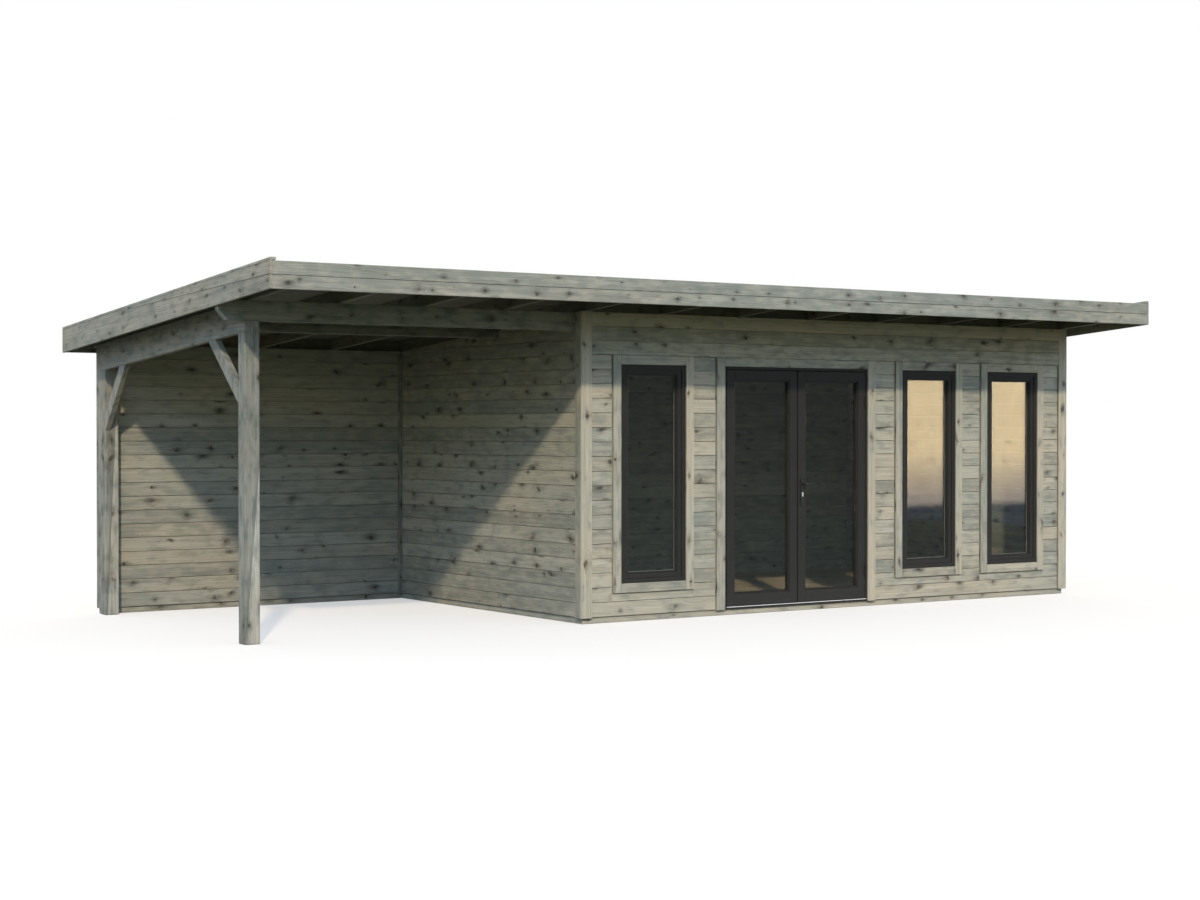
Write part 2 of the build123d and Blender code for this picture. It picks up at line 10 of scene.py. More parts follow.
import bmesh
import bpy
import numpy as np
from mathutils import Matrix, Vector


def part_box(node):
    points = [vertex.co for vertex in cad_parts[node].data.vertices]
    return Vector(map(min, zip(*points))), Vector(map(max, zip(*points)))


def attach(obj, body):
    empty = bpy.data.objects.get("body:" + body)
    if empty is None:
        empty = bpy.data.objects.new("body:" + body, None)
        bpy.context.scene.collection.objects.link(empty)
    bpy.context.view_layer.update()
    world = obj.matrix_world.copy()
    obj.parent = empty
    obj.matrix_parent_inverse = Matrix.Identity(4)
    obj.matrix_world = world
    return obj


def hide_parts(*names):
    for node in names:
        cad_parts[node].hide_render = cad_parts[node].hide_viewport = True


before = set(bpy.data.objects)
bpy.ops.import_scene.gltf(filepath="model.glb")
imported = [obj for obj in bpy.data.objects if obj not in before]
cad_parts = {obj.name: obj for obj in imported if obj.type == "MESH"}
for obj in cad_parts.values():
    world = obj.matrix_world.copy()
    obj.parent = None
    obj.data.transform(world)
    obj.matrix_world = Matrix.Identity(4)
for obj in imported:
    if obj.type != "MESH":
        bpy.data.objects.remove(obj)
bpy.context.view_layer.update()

LOG = logging.getLogger("garden_room")

Point = tuple[float, float, float]
Colour = tuple[float, float, float]
Pair = tuple[float, float]
Limits = Sequence[float]
Material = bpy.types.Material
Node = bpy.types.Node
Socket = bpy.types.NodeSocket

BOARD_UV = "board"
TONE = "tone"
X_WAY: Point = (1.0, 0.0, 0.0)
Y_WAY: Point = (0.0, 1.0, 0.0)
Z_WAY: Point = (0.0, 0.0, 1.0)
SECTION_CORNERS = 8

# A length that is too small to be seen, in metres
HAIR = 0.0002

# Cleaning and easing of copies of frame nodes
MERGE_REACH = HAIR / 10
FLAT_ANGLE = radians(1)
SHARP_ANGLE = radians(35)
BEVEL_SEGMENTS = 2

# Colour sockets of a mix node, which lists its number and vector sockets first
MIX_FIRST = 6
MIX_SECOND = 7
MIX_RESULT = 2


class Body(Enum):
    """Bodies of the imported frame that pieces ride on."""

    BUILDING = "building"
    LEFT_LEAF = "left_leaf"
    RIGHT_LEAF = "right_leaf"


class Slot(Enum):
    """Material slots of the record."""

    TIMBER = "treated_timber"
    FLOOR = "floor_timber"
    JOINERY = "dark_joinery"
    GLAZING = "glazing"
    THRESHOLD = "threshold_metal"
    HINGE = "hinge_metal"
    HANDLE = "handle_metal"
    LOCK = "lock_metal"
    FELT = "roofing_felt"


class Grain(Enum):
    """Where a timber finish reads its along and across measures from."""

    BOARD = "board"
    ALONG_X = X_WAY
    ALONG_Y = Y_WAY
    ALONG_Z = Z_WAY


class Facing(Enum):
    """Side that a boarded face looks to."""

    FRONT = "front"
    BACK = "back"
    LEFT = "left"
    RIGHT = "right"


@dataclass(frozen=True)
class Extent:
    """Box of a frame node, in metres."""

    left: float
    right: float
    front: float
    back: float
    bottom: float
    top: float

    @classmethod
    def of(cls, node: str) -> "Extent":
        """Read the box of one node at rest from the frame."""
        low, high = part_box(node)
        return cls(low.x, high.x, low.y, high.y, low.z, high.z)

    @property
    def x(self) -> Pair:
        """Limits along X."""
        return self.left, self.right

    @property
    def y(self) -> Pair:
        """Limits along Y."""
        return self.front, self.back

    @property
    def z(self) -> Pair:
        """Limits along Z."""
        return self.bottom, self.top


@dataclass(frozen=True)
class Slope:
    """Underside of the rafters: a plane that falls evenly from the front to the back.

    Attributes:
        fall: fall per unit of depth.
        back, back_height: place and height of its back edge.
    """

    fall: float
    back: float
    back_height: float

    @classmethod
    def from_frame(cls, felt_thickness: float) -> "Slope":
        """Read the fall from the felt's box and the height from the rafters' box.

        Args:
            felt_thickness: upright thickness of the felt.

        Returns:
            The slope of the roof.
        """
        felt = Extent.of("roof_felt")
        rafters = Extent.of("rafters")
        fall = (felt.top - felt.bottom - felt_thickness) / (felt.back - felt.front)
        return cls(fall, rafters.back, rafters.bottom)

    def under(self, y: float) -> float:
        """Height of the underside at y."""
        return self.back_height + self.fall * (self.back - y)

    def where(self, height: float) -> float:
        """Place y at which the underside has the given height."""
        return self.back + (self.back_height - height) / self.fall


@dataclass(frozen=True)
class Stick:
    """A straight piece of timber: a chamfered rectangle carried along an axis.

    Attributes:
        start: point that the measures below count from.
        axis: direction that the section is carried along, one unit of length a step.
        up: direction of the section's height.
        stations: places along the axis.
        lows, highs: lower and upper edge of the section at each station.
        sides: near and far side of the section, along up x axis.
        arrises: chamfers of the four edges, low near, low far, high far and high near.
        end_cut: slant of the last end, along the axis per unit of height.
        tone: paleness from 0 to 1, or None for a random one.
    """

    start: Point
    axis: Point
    up: Point
    stations: tuple[float, ...]
    lows: tuple[float, ...]
    highs: tuple[float, ...]
    sides: Pair
    arrises: tuple[float, float, float, float]
    end_cut: float = 0.0
    tone: float | None = None

    @classmethod
    def even(
        cls, start: Point, axis: Point, up: Point, length: float, heights: Limits, sides: Limits, arris: float
    ) -> "Stick":
        """Stick with the same section from end to end.

        Args:
            start, axis, up, sides: as in the class.
            length: its length along the axis.
            heights: lower and upper edge of its section.
            arris: chamfer of the four long edges.

        Returns:
            The stick.
        """
        low, high = heights
        return cls(start, axis, up, (0.0, length), (low, low), (high, high), tuple(sides), (arris,) * 4)

    @classmethod
    def along_x(cls, x: Limits, y: Limits, z: Limits, arris: float) -> "Stick":
        """Level stick along X between low and high limits, its edges chamfered by the arris."""
        return cls.even((x[0], 0.0, 0.0), X_WAY, Z_WAY, x[1] - x[0], z, y, arris)

    @classmethod
    def along_y(cls, x: Limits, y: Limits, z: Limits, arris: float) -> "Stick":
        """Level stick along Y between low and high limits, its edges chamfered by the arris."""
        return cls.even((0.0, y[0], 0.0), Y_WAY, Z_WAY, y[1] - y[0], z, (-x[1], -x[0]), arris)

    @classmethod
    def along_z(cls, x: Limits, y: Limits, z: Limits, arris: float, top_fall: float = 0.0) -> "Stick":
        """Upright stick between low and high limits, its top cut to a fall towards the back.

        Args:
            x, y, z: limits; the high z is measured at the front limit of y.
            arris: chamfer of the four long edges.
            top_fall: fall of the top end, height per unit of depth.

        Returns:
            The stick.
        """
        stick = cls.even((0.0, y[0], z[0]), Z_WAY, Y_WAY, z[1] - z[0], (0.0, y[1] - y[0]), x, arris)
        return replace(stick, end_cut=-top_fall)

    @classmethod
    def down_slope(cls, x: Limits, y: Limits, rise: Limits, slope: Slope, arris: float) -> "Stick":
        """Stick down the roof slope, its rise measured from the rafters' underside, with plumb ends."""
        start = (0.0, y[0], slope.under(y[0]))
        return cls.even(start, (0.0, 1.0, -slope.fall), Z_WAY, y[1] - y[0], rise, (-x[1], -x[0]), arris)

    @classmethod
    def across_slope(cls, x: Limits, y: Limits, rise: Limits, slope: Slope, arris: float) -> "Stick":
        """Stick along X on the roof slope, its height square to the slope.

        Args:
            x, y, rise, slope, arris: as for a stick down the slope.

        Returns:
            The stick.
        """
        middle = (y[0] + y[1]) / 2
        lean = atan2(slope.fall, 1)
        half = (y[1] - y[0]) / 2 / cos(lean)
        heights = [height * cos(lean) for height in rise]
        start = (x[0], middle, slope.under(middle))
        return cls.even(start, X_WAY, (0.0, sin(lean), cos(lean)), x[1] - x[0], heights, (-half, half), arris)


def even_rows(start: float, end: float, count: int, joint: float) -> list[Pair]:
    """Share a stretch evenly among boards.

    Args:
        start, end: limits of the stretch.
        count: how many boards.
        joint: open joint between two boards.

    Returns:
        Low and high limit of each board.
    """
    edges = np.linspace(start, end, count + 1)
    return [(low + joint / 2, high - joint / 2) for low, high in zip(edges, edges[1:])]


@dataclass
class Surface:
    """Arrays of a mesh: points, faces, a face-corner map in metres and a tone for each face."""

    points: np.ndarray
    faces: list[list[int]]
    uvs: np.ndarray
    tones: np.ndarray

    @classmethod
    def joined(cls, parts: Sequence["Surface"]) -> "Surface":
        """Join several surfaces into one, with their faces renumbered.

        Args:
            parts: the surfaces.

        Returns:
            One surface.
        """
        starts = np.cumsum([0] + [len(part.points) for part in parts])
        faces = [
            [index + start for index in face] for part, start in zip(parts, starts) for face in part.faces
        ]
        return cls(
            np.concatenate([part.points for part in parts]),
            faces,
            np.concatenate([part.uvs for part in parts]),
            np.concatenate([part.tones for part in parts]),
        )


@dataclass
class Sawmill:
    """Turns sticks into surfaces, with a random stretch of grain and a random tone for each.

    Attributes:
        seed: seed of the random draws.
        end_arris: chamfer of the ends.
        least_share: part of a thin end that a chamfer may take.
        grain_run: length of the make-believe log that stretches of grain are drawn from.
    """

    seed: int
    end_arris: float = 0.0015
    least_share: float = 0.35
    grain_run: float = 60.0
    draws: np.random.Generator = field(init=False)

    def __post_init__(self) -> None:
        """Start the random draws."""
        self.draws = np.random.default_rng(self.seed)

    def saw(self, sticks: Iterable[Stick]) -> Surface:
        """Make one surface of many sticks.

        Args:
            sticks: the sticks, with any number of stations.

        Returns:
            Their joined surface.
        """
        groups: dict[int, list[Stick]] = defaultdict(list)
        for stick in sticks:
            groups[len(stick.stations)].append(stick)
        return Surface.joined([self._carry(groups[count]) for count in sorted(groups)])

    def _carry(self, sticks: list[Stick]) -> Surface:
        """Carry the sections of sticks that have equally many stations along their axes.

        A ring is the section's eight corners, point = start + axis a + side s + up u. There is a ring at
        each station, and one more at each end, drawn in by the end chamfer. Neighbouring rings are joined
        by four-sided faces, and the two ends are closed by eight-sided ones. The map gives the distance
        along the stick and the distance round its section.

        Args:
            sticks: the sticks of one group.

        Returns:
            Their surface.
        """
        count = len(sticks)
        last = len(sticks[0].stations) - 1
        order = np.array([0, *range(last + 1), last])
        rings = len(order)
        drawn_in = np.zeros(rings)
        drawn_in[[0, -1]] = self.end_arris
        step = np.zeros(rings)
        step[1] = self.end_arris
        step[-2] = -self.end_arris

        along = np.array([stick.stations for stick in sticks])[:, order] + step
        low = np.array([stick.lows for stick in sticks])[:, order] + drawn_in
        high = np.array([stick.highs for stick in sticks])[:, order] - drawn_in
        near, far = (np.array([stick.sides for stick in sticks])[:, k, None] for k in (0, 1))
        near, far = near + drawn_in, far - drawn_in
        limit = self.least_share * np.minimum(high - low, far - near)
        arrises = np.array([stick.arrises for stick in sticks])
        edge = [np.minimum(arrises[:, k, None], limit) for k in range(4)]

        across = np.stack(
            [near + edge[0], far - edge[1], far, far, far - edge[2], near + edge[3], near, near], axis=-1
        )
        height = np.stack(
            [low, low, low + edge[1], high - edge[2], high, high, high - edge[3], low + edge[0]], axis=-1
        )
        slant = np.zeros((count, rings, 1))
        slant[:, -2:, 0] = np.array([[stick.end_cut] for stick in sticks])
        run = along[..., None] + slant * height

        axis = np.array([stick.axis for stick in sticks], float)
        up = np.array([stick.up for stick in sticks], float)
        side = np.cross(up, axis)
        start = np.array([stick.start for stick in sticks], float)
        points = start[:, None, None] + sum(
            measure[..., None] * way[:, None, None]
            for measure, way in ((run, axis), (across, side), (height, up))
        )

        wide, tall = far - near, high - low
        turns = zip((wide, wide + tall, 2 * wide + tall, 2 * wide + 2 * tall), [*edge[1:], edge[0]])
        round_section = [edge[0], *(turn + way * ease for turn, ease in turns for way in (-1, 1))]
        round_section = np.stack(round_section, axis=-1)
        shift = self.draws.uniform(0, self.grain_run, (count, 2))
        drawn = self.draws.uniform(0, 1, count)
        tone = np.array([given if stick.tone is None else stick.tone for stick, given in zip(sticks, drawn)])

        number = np.arange(count * rings * SECTION_CORNERS).reshape(count, rings, SECTION_CORNERS)
        turned = np.roll(number, -1, axis=2)
        quads = np.stack([number[:, :-1], turned[:, :-1], turned[:, 1:], number[:, 1:]], axis=-1)
        ends = np.concatenate([number[:, 0, ::-1], number[:, -1]])

        flat_run = np.broadcast_to(along[..., None], number.shape)
        corners = [
            (flat_run[:, :-1], round_section[:, :-1, :-1]),
            (flat_run[:, :-1], round_section[:, :-1, 1:]),
            (flat_run[:, 1:], round_section[:, 1:, 1:]),
            (flat_run[:, 1:], round_section[:, 1:, :-1]),
        ]
        side_map = np.stack([np.stack(corner, axis=-1) for corner in corners], axis=-2)
        side_map = side_map + shift[:, None, None, None]
        end_map = np.stack([across[:, [0, -1]], height[:, [0, -1]]], axis=-1) + shift[:, None, None]
        end_map = np.concatenate([end_map[:, 0, ::-1], end_map[:, 1]])
        return Surface(
            points.reshape(-1, 3),
            quads.reshape(-1, 4).tolist() + ends.tolist(),
            np.concatenate([side_map.reshape(-1, 2), end_map.reshape(-1, 2)]),
            np.concatenate([np.repeat(tone, (rings - 1) * SECTION_CORNERS), tone, tone]),
        )


def place_piece(
    name: str, surface: Surface, material: Material, body: Body, nodes: Sequence[str]
) -> bpy.types.Object:
    """Put a surface into the scene as a piece that rides on a body.

    Args:
        name: name of the piece.
        surface: arrays of its mesh.
        material: its finish.
        body: body that it moves with.
        nodes: frame nodes that it stands for.

    Returns:
        The new object.
    """
    mesh = bpy.data.meshes.new(name)
    mesh.from_pydata(surface.points.tolist(), [], surface.faces)
    mesh.uv_layers.new(name=BOARD_UV).data.foreach_set("uv", surface.uvs.astype(np.float32).ravel())
    tones = mesh.attributes.new(TONE, "FLOAT", "FACE")
    tones.data.foreach_set("value", surface.tones.astype(np.float32))
    mesh.materials.append(material)
    mesh.validate()
    piece = bpy.data.objects.new(name, mesh)
    bpy.context.scene.collection.objects.link(piece)
    settle_piece(piece, body, nodes)
    return piece


def place_sawn(
    name: str,
    seed: int,
    sticks: Iterable[Stick],
    material: Material,
    *nodes: str,
    slot: Slot = Slot.TIMBER,
    body: Body = Body.BUILDING,
) -> None:
    """Saw sticks and put them into the scene as one piece.

    Args:
        name: name of the piece.
        seed: seed of its grain and tones.
        sticks: its sticks.
        material: its finish.
        nodes: frame nodes that it stands for.
        slot: the record's slot that the finish stands for; not used.
        body: body that it moves with.
    """
    place_piece(name, Sawmill(seed).saw(sticks), material, body, nodes)


def settle_piece(piece: bpy.types.Object, body: Body, nodes: Sequence[str]) -> None:
    """Ride a piece on its body and the nodes that it stands for, and report it.

    Args:
        piece: the piece.
        body: body that it moves with.
        nodes: frame nodes that it stands for.
    """
    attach(piece, body.value)
    if nodes:
        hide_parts(*nodes)
    LOG.info("%s: %d faces on %s", piece.name, len(piece.data.polygons), body.value)


def eased_copy(name: str, node: str, material: Material, body: Body, ease: float) -> None:
    """Stand a copy of a frame node in its place, its loose triangles merged and its edges bevelled.

    Args:
        name: name of the new piece.
        node: frame node that is copied and replaced.
        material: finish of the copy.
        body: body that it moves with.
        ease: width of the eased edges.
    """
    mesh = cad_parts[node].data.copy()
    mesh.name = name
    shape = bmesh.new()
    shape.from_mesh(mesh)
    bmesh.ops.remove_doubles(shape, verts=shape.verts, dist=MERGE_REACH)
    bmesh.ops.dissolve_limit(shape, angle_limit=FLAT_ANGLE, verts=shape.verts, edges=shape.edges)
    bmesh.ops.recalc_face_normals(shape, faces=shape.faces)
    shape.to_mesh(mesh)
    shape.free()
    if mesh.has_custom_normals:
        mesh.attributes.remove(mesh.attributes["custom_normal"])
    mesh.shade_smooth()
    mesh.set_sharp_from_angle(angle=SHARP_ANGLE)
    mesh.materials.clear()
    mesh.materials.append(material)
    piece = bpy.data.objects.new(name, mesh)
    bpy.context.scene.collection.objects.link(piece)
    bevel = piece.modifiers.new("eased edges", "BEVEL")
    bevel.width = ease
    bevel.segments = BEVEL_SEGMENTS
    bevel.limit_method = "ANGLE"
    bevel.angle_limit = SHARP_ANGLE
    bevel.harden_normals = True
    settle_piece(piece, body, [node])


@dataclass(frozen=True)
class Noise:
    """Noise of a finish.

    Attributes:
        turns: turns per metre, each way.
        detail: octaves.
        dimensions: 2D reads only the first two coordinates.
    """

    turns: Point
    detail: float
    dimensions: str = "2D"


@dataclass
class Wiring:
    """Adds nodes to a shader tree and joins them."""

    tree: bpy.types.NodeTree

    def add(self, kind: str, feeds: dict[int | str, object] | None = None, **settings: object) -> Node:
        """Add a node, set its properties and feed its inputs.

        Args:
            kind: Blender's name of the node type.
            feeds: outputs or values for its inputs.
            settings: properties of the node.

        Returns:
            The node.
        """
        node = self.tree.nodes.new(kind)
        for key, value in settings.items():
            setattr(node, key, value)
        for key, value in (feeds or {}).items():
            self.feed(node.inputs[key], value)
        return node

    def feed(self, socket: Socket, value: object) -> None:
        """Join an output to a socket, or set the socket's own value.

        Args:
            socket: input that takes the value.
            value: an output socket, a number, or numbers.
        """
        if isinstance(value, Socket):
            self.tree.links.new(value, socket)
        elif isinstance(value, tuple) and len(value) == 3 and socket.type == "RGBA":
            socket.default_value = (*value, 1.0)
        else:
            socket.default_value = value

    def math(self, operation: str, *values: object) -> Socket:
        """Number that one of Blender's operations makes of outputs or numbers."""
        return self.add("ShaderNodeMath", dict(enumerate(values)), operation=operation).outputs[0]

    def times(self, first: object, second: object) -> Socket:
        """Product of two numbers."""
        return self.math("MULTIPLY", first, second)

    def line(self, value: object, slope: object, start: object) -> Socket:
        """Number that grows in a straight line, start + slope value."""
        return self.math("MULTIPLY_ADD", value, slope, start)

    def total(self, values: Sequence[object], weights: Sequence[float]) -> Socket:
        """Sum of numbers, each times its weight.

        Args:
            values: outputs or numbers.
            weights: their weights.

        Returns:
            The sum.
        """
        result = self.times(values[0], weights[0])
        for value, weight in zip(values[1:], weights[1:]):
            result = self.line(value, weight, result)
        return result

    def parts(self, vector: Socket) -> bpy.types.NodeOutputs:
        """X, Y and Z of a vector."""
        return self.add("ShaderNodeSeparateXYZ", {0: vector}).outputs

    def place(self) -> Socket:
        """Object coordinates."""
        return self.add("ShaderNodeTexCoord").outputs["Object"]

    def vector(self, operation: str, *values: object) -> Socket:
        """Vector, length or dot product that one of Blender's operations makes of outputs or vectors."""
        node = self.add("ShaderNodeVectorMath", dict(enumerate(values)), operation=operation)
        return node.outputs["Value" if operation in ("LENGTH", "DOT_PRODUCT") else "Vector"]

    def scaled(self, colour: object, amount: object) -> Socket:
        """Colour or vector times a number."""
        feeds = {0: colour, "Scale": amount}
        return self.add("ShaderNodeVectorMath", feeds, operation="SCALE").outputs["Vector"]

    def noise(self, place: Socket, noise: Noise) -> Socket:
        """Noise from 0 to 1 on stretched coordinates."""
        feeds = {"Vector": self.vector("MULTIPLY", place, noise.turns), "Scale": 1.0, "Detail": noise.detail}
        return self.add("ShaderNodeTexNoise", feeds, noise_dimensions=noise.dimensions).outputs["Fac"]

    def ease(self, value: object, start: object, end: object, low: float = 0.0, high: float = 1.0) -> Socket:
        """Smooth step from low to high as the value goes from start to end."""
        feeds = {"Value": value, "From Min": start, "From Max": end, "To Min": low, "To Max": high}
        return self.add("ShaderNodeMapRange", feeds, interpolation_type="SMOOTHSTEP").outputs[0]

    def mix(self, amount: object, first: object, second: object) -> Socket:
        """Mix two colours, the amount being the share of the second."""
        feeds = {"Factor": amount, MIX_FIRST: first, MIX_SECOND: second}
        return self.add("ShaderNodeMix", feeds, data_type="RGBA").outputs[MIX_RESULT]


FINISH_OUTPUTS = {"Colour": "Color", "Roughness": "Float", "Height": "Float"}


def open_group(
    name: str, inputs: dict[str, str]
) -> tuple[Wiring, bpy.types.NodeOutputs, bpy.types.NodeInputs]:
    """Start a node group that gives a finish its colour, roughness and height.

    Args:
        name: name of the group.
        inputs: names and kinds of its inputs.

    Returns:
        The wiring of the group, what it is given, and the sockets that take its results.
    """
    tree = bpy.data.node_groups.new(name, "ShaderNodeTree")
    for way, sockets in (("INPUT", inputs), ("OUTPUT", FINISH_OUTPUTS)):
        for socket, kind in sockets.items():
            tree.interface.new_socket(socket, in_out=way, socket_type=f"NodeSocket{kind}")
    wiring = Wiring(tree)
    return wiring, wiring.add("NodeGroupInput").outputs, wiring.add("NodeGroupOutput").inputs


@dataclass(frozen=True)
class SoftwoodFigure:
    """Node group of knotty softwood: figure, ragged knots with stained halos, pin knots, weathered patches.

    Limits are where a smooth step starts and ends. A range is the spread and the least of a random measure.

    Attributes:
        knot_cell, pin_cell: room that a knot and a pin knot have, along and across the board.
        scatter: how far they stray within it.
        pin_chance: part of the cells that hold a pin knot.
        pin_radius, pin_strength: radius and darkness of a pin knot.
        least_knot: size of the smallest knot, beside a usual one.
        turn_range, length_range, rag_range, strength_range: a knot's turn, length, rag and darkness.
        knot_reach, halo_reach, tail_reach: where these start and are full, in knot radii.
        tail_stretch: shares of the along and across measures for the stain that trails from a knot.
        bend: how far the grain gives way to a knot.
        smoke_paleness: colour of the halo and the tail, as a multiple of the knot's.
        rag, fibre, streak, drift, vein, patch, blotch, cloud: noises of the outlines, grain and patches.
        ring_turns, ring_drift: radians of the year rings per metre across, and their wandering.
        figure_weights: fibre, streak, vein and rings in the figure.
        pale_weights: patch, the board's tone and cloud in the pale share.
        stain_weights: blotch and the board's tone in the stain.
        smoke_weights: halo and tail round a knot.
        height_weights: figure and knot in the surface's height.
        hue_turns, board_hue, cloud_hue: how boards and whole stretches of wall drift between two tints.
        cool, warm: the two tints.
        roughness_range: roughness over the figure.
    """

    name: str = "softwood figure"
    knot_cell: Pair = (0.33, 0.108)
    pin_cell: Pair = (0.23, 0.06)
    scatter: float = 0.9
    pin_chance: float = 0.16
    pin_radius: float = 0.005
    pin_strength: float = 0.8
    least_knot: float = 0.4
    turn_range: Pair = (2.6, -1.3)
    length_range: Pair = (1.25, 0.36)
    rag_range: Pair = (0.95, 0.5)
    strength_range: Pair = (0.45, 0.4)
    knot_reach: Pair = (1.0, 0.5)
    halo_reach: Pair = (3.6, 0.6)
    tail_reach: Pair = (1.6, 0.2)
    tail_stretch: Pair = (0.2, 0.9)
    bend: float = 0.6
    smoke_paleness: float = 2.8
    rag: Noise = Noise((48.0, 70.0, 0.0), 3.0)
    fibre: Noise = Noise((7.0, 300.0, 0.0), 2.0)
    streak: Noise = Noise((0.9, 42.0, 0.0), 4.0)
    drift: Noise = Noise((0.8, 8.0, 0.0), 2.0)
    vein: Noise = Noise((2.6, 120.0, 0.0), 3.0)
    patch: Noise = Noise((1.1, 6.0, 0.0), 4.0)
    blotch: Noise = Noise((6.0, 17.0, 0.0), 6.0)
    cloud: Noise = Noise((0.9, 0.9, 1.5), 3.0, "3D")
    ring_turns: float = 520.0
    ring_drift: float = 46.0
    figure_weights: tuple[float, ...] = (0.18, 0.38, 0.32, 0.12)
    pale_weights: tuple[float, ...] = (0.68, 0.36, 0.42)
    stain_weights: tuple[float, ...] = (1.25, -0.3)
    smoke_weights: tuple[float, ...] = (0.58, 0.32)
    height_weights: tuple[float, ...] = (-0.8, 0.5)
    figure_limits: Pair = (0.24, 0.72)
    pale_limits: Pair = (0.44, 1.0)
    stain_limits: Pair = (0.34, 0.78)
    smoke_limits: Pair = (0.34, 0.66)
    cloud_limits: Pair = (0.32, 0.68)
    hue_turns: float = 7.3
    board_hue: float = 0.45
    cloud_hue: float = 0.55
    cool: Colour = (0.96, 1.0, 1.045)
    warm: Colour = (1.045, 0.99, 0.945)
    roughness_range: Pair = (0.3, 0.58)

    def spots(self, wiring: Wiring, place: Socket, cell: Pair) -> tuple[Socket, bpy.types.NodeOutputs]:
        """Scatter one spot in each cell of a board.

        Args:
            wiring: wiring of the group.
            place: along and across measures of the board.
            cell: room that one spot has.

        Returns:
            The vector from the nearest spot in metres, and three random numbers that belong to the spot.
        """
        cells = wiring.vector("MULTIPLY", place, (1 / cell[0], 1 / cell[1], 0.0))
        feeds = {"Vector": cells, "Scale": 1.0, "Randomness": self.scatter}
        node = wiring.add("ShaderNodeTexVoronoi", feeds, voronoi_dimensions="2D")
        away = wiring.vector("SUBTRACT", cells, node.outputs["Position"])
        split = wiring.add("ShaderNodeSeparateColor", {0: node.outputs["Color"]})
        return wiring.vector("MULTIPLY", away, (*cell, 0.0)), split.outputs

    def ragged_distance(
        self, wiring: Wiring, board: Socket, away: Socket, chance: bpy.types.NodeOutputs
    ) -> Socket:
        """Distance from a knot's middle, measured in a turned, drawn-out and ragged outline.

        Args:
            wiring: wiring of the group.
            board: along and across measures of the board.
            away: vector from the knot.
            chance: the knot's random numbers.

        Returns:
            The distance in metres.
        """
        turn = wiring.line(chance[2], *self.turn_range)
        cosine, sine = wiring.math("COSINE", turn), wiring.math("SINE", turn)
        along, across, _ = wiring.parts(away)
        first = wiring.line(along, cosine, wiring.times(across, sine))
        second = wiring.math("SUBTRACT", wiring.times(across, cosine), wiring.times(along, sine))
        drawn_out = wiring.times(first, wiring.line(chance[1], *self.length_range))
        outline = wiring.add("ShaderNodeCombineXYZ", {"X": drawn_out, "Y": second})
        rag = wiring.line(wiring.noise(board, self.rag), *self.rag_range)
        return wiring.times(wiring.vector("LENGTH", outline.outputs[0]), rag)

    def fade(self, wiring: Wiring, distance: Socket, radius: Socket, reach: Pair) -> Socket:
        """Mask that grows from 0 to 1 towards a knot, its reach in radii of the knot."""
        return wiring.ease(distance, *(wiring.times(radius, share) for share in reach))

    def build(self) -> bpy.types.NodeTree:
        """Build the group.

        Returns:
            A group whose colour, roughness and height vary over the board.
        """
        vectors = dict.fromkeys(("Board", "Place"), "Vector")
        colours = dict.fromkeys(("Pale", "Middle", "Stained", "Knot"), "Color")
        numbers = dict.fromkeys(("Tone", "Knot Radius", "Knot Chance", "Figure", "Stain"), "Float")
        wiring, given, result = open_group(self.name, vectors | colours | numbers)
        board, tone = given["Board"], given["Tone"]
        away, chance = self.spots(wiring, board, self.knot_cell)
        radius = wiring.times(given["Knot Radius"], wiring.math("ADD", chance[0], self.least_knot))
        radius = wiring.times(radius, wiring.math("LESS_THAN", chance[1], given["Knot Chance"]))
        radius = wiring.math("ADD", radius, HAIR)
        distance = self.ragged_distance(wiring, board, away, chance)
        trail = wiring.vector("LENGTH", wiring.vector("MULTIPLY", away, (*self.tail_stretch, 0.0)))
        knot = self.fade(wiring, distance, radius, self.knot_reach)
        halo = self.fade(wiring, distance, radius, self.halo_reach)
        tail = self.fade(wiring, trail, radius, self.tail_reach)

        bend = wiring.scaled(wiring.vector("MULTIPLY", away, Y_WAY), wiring.times(halo, self.bend))
        flow = wiring.vector("SUBTRACT", board, bend)
        fibre = wiring.noise(flow, self.fibre)
        streak = wiring.noise(flow, self.streak)
        vein = wiring.noise(flow, self.vein)
        drift = wiring.times(wiring.noise(flow, self.drift), self.ring_drift)
        phase = wiring.line(wiring.parts(flow)["Y"], self.ring_turns, drift)
        rings = wiring.line(wiring.math("SINE", phase), 0.5, 0.5)
        figure = wiring.total((fibre, streak, vein, rings), self.figure_weights)

        patch = wiring.noise(board, self.patch)
        blotch = wiring.noise(board, self.blotch)
        cloud = wiring.noise(given["Place"], self.cloud)
        pale_share = wiring.total((patch, tone, cloud), self.pale_weights)
        colour = wiring.mix(wiring.ease(pale_share, *self.pale_limits), given["Middle"], given["Pale"])
        drawn = wiring.total((blotch, tone), self.stain_weights)
        stain = wiring.times(wiring.ease(drawn, *self.stain_limits), given["Stain"])
        colour = wiring.mix(stain, colour, given["Stained"])
        hue = wiring.math("FRACT", wiring.times(tone, self.hue_turns))
        hue = wiring.line(hue, self.board_hue, wiring.ease(cloud, *self.cloud_limits, 0.0, self.cloud_hue))
        colour = wiring.vector("MULTIPLY", colour, wiring.mix(hue, self.cool, self.warm))
        depth = wiring.math("SUBTRACT", 0.5, wiring.ease(figure, *self.figure_limits))
        colour = wiring.scaled(colour, wiring.line(depth, given["Figure"], 1.0))

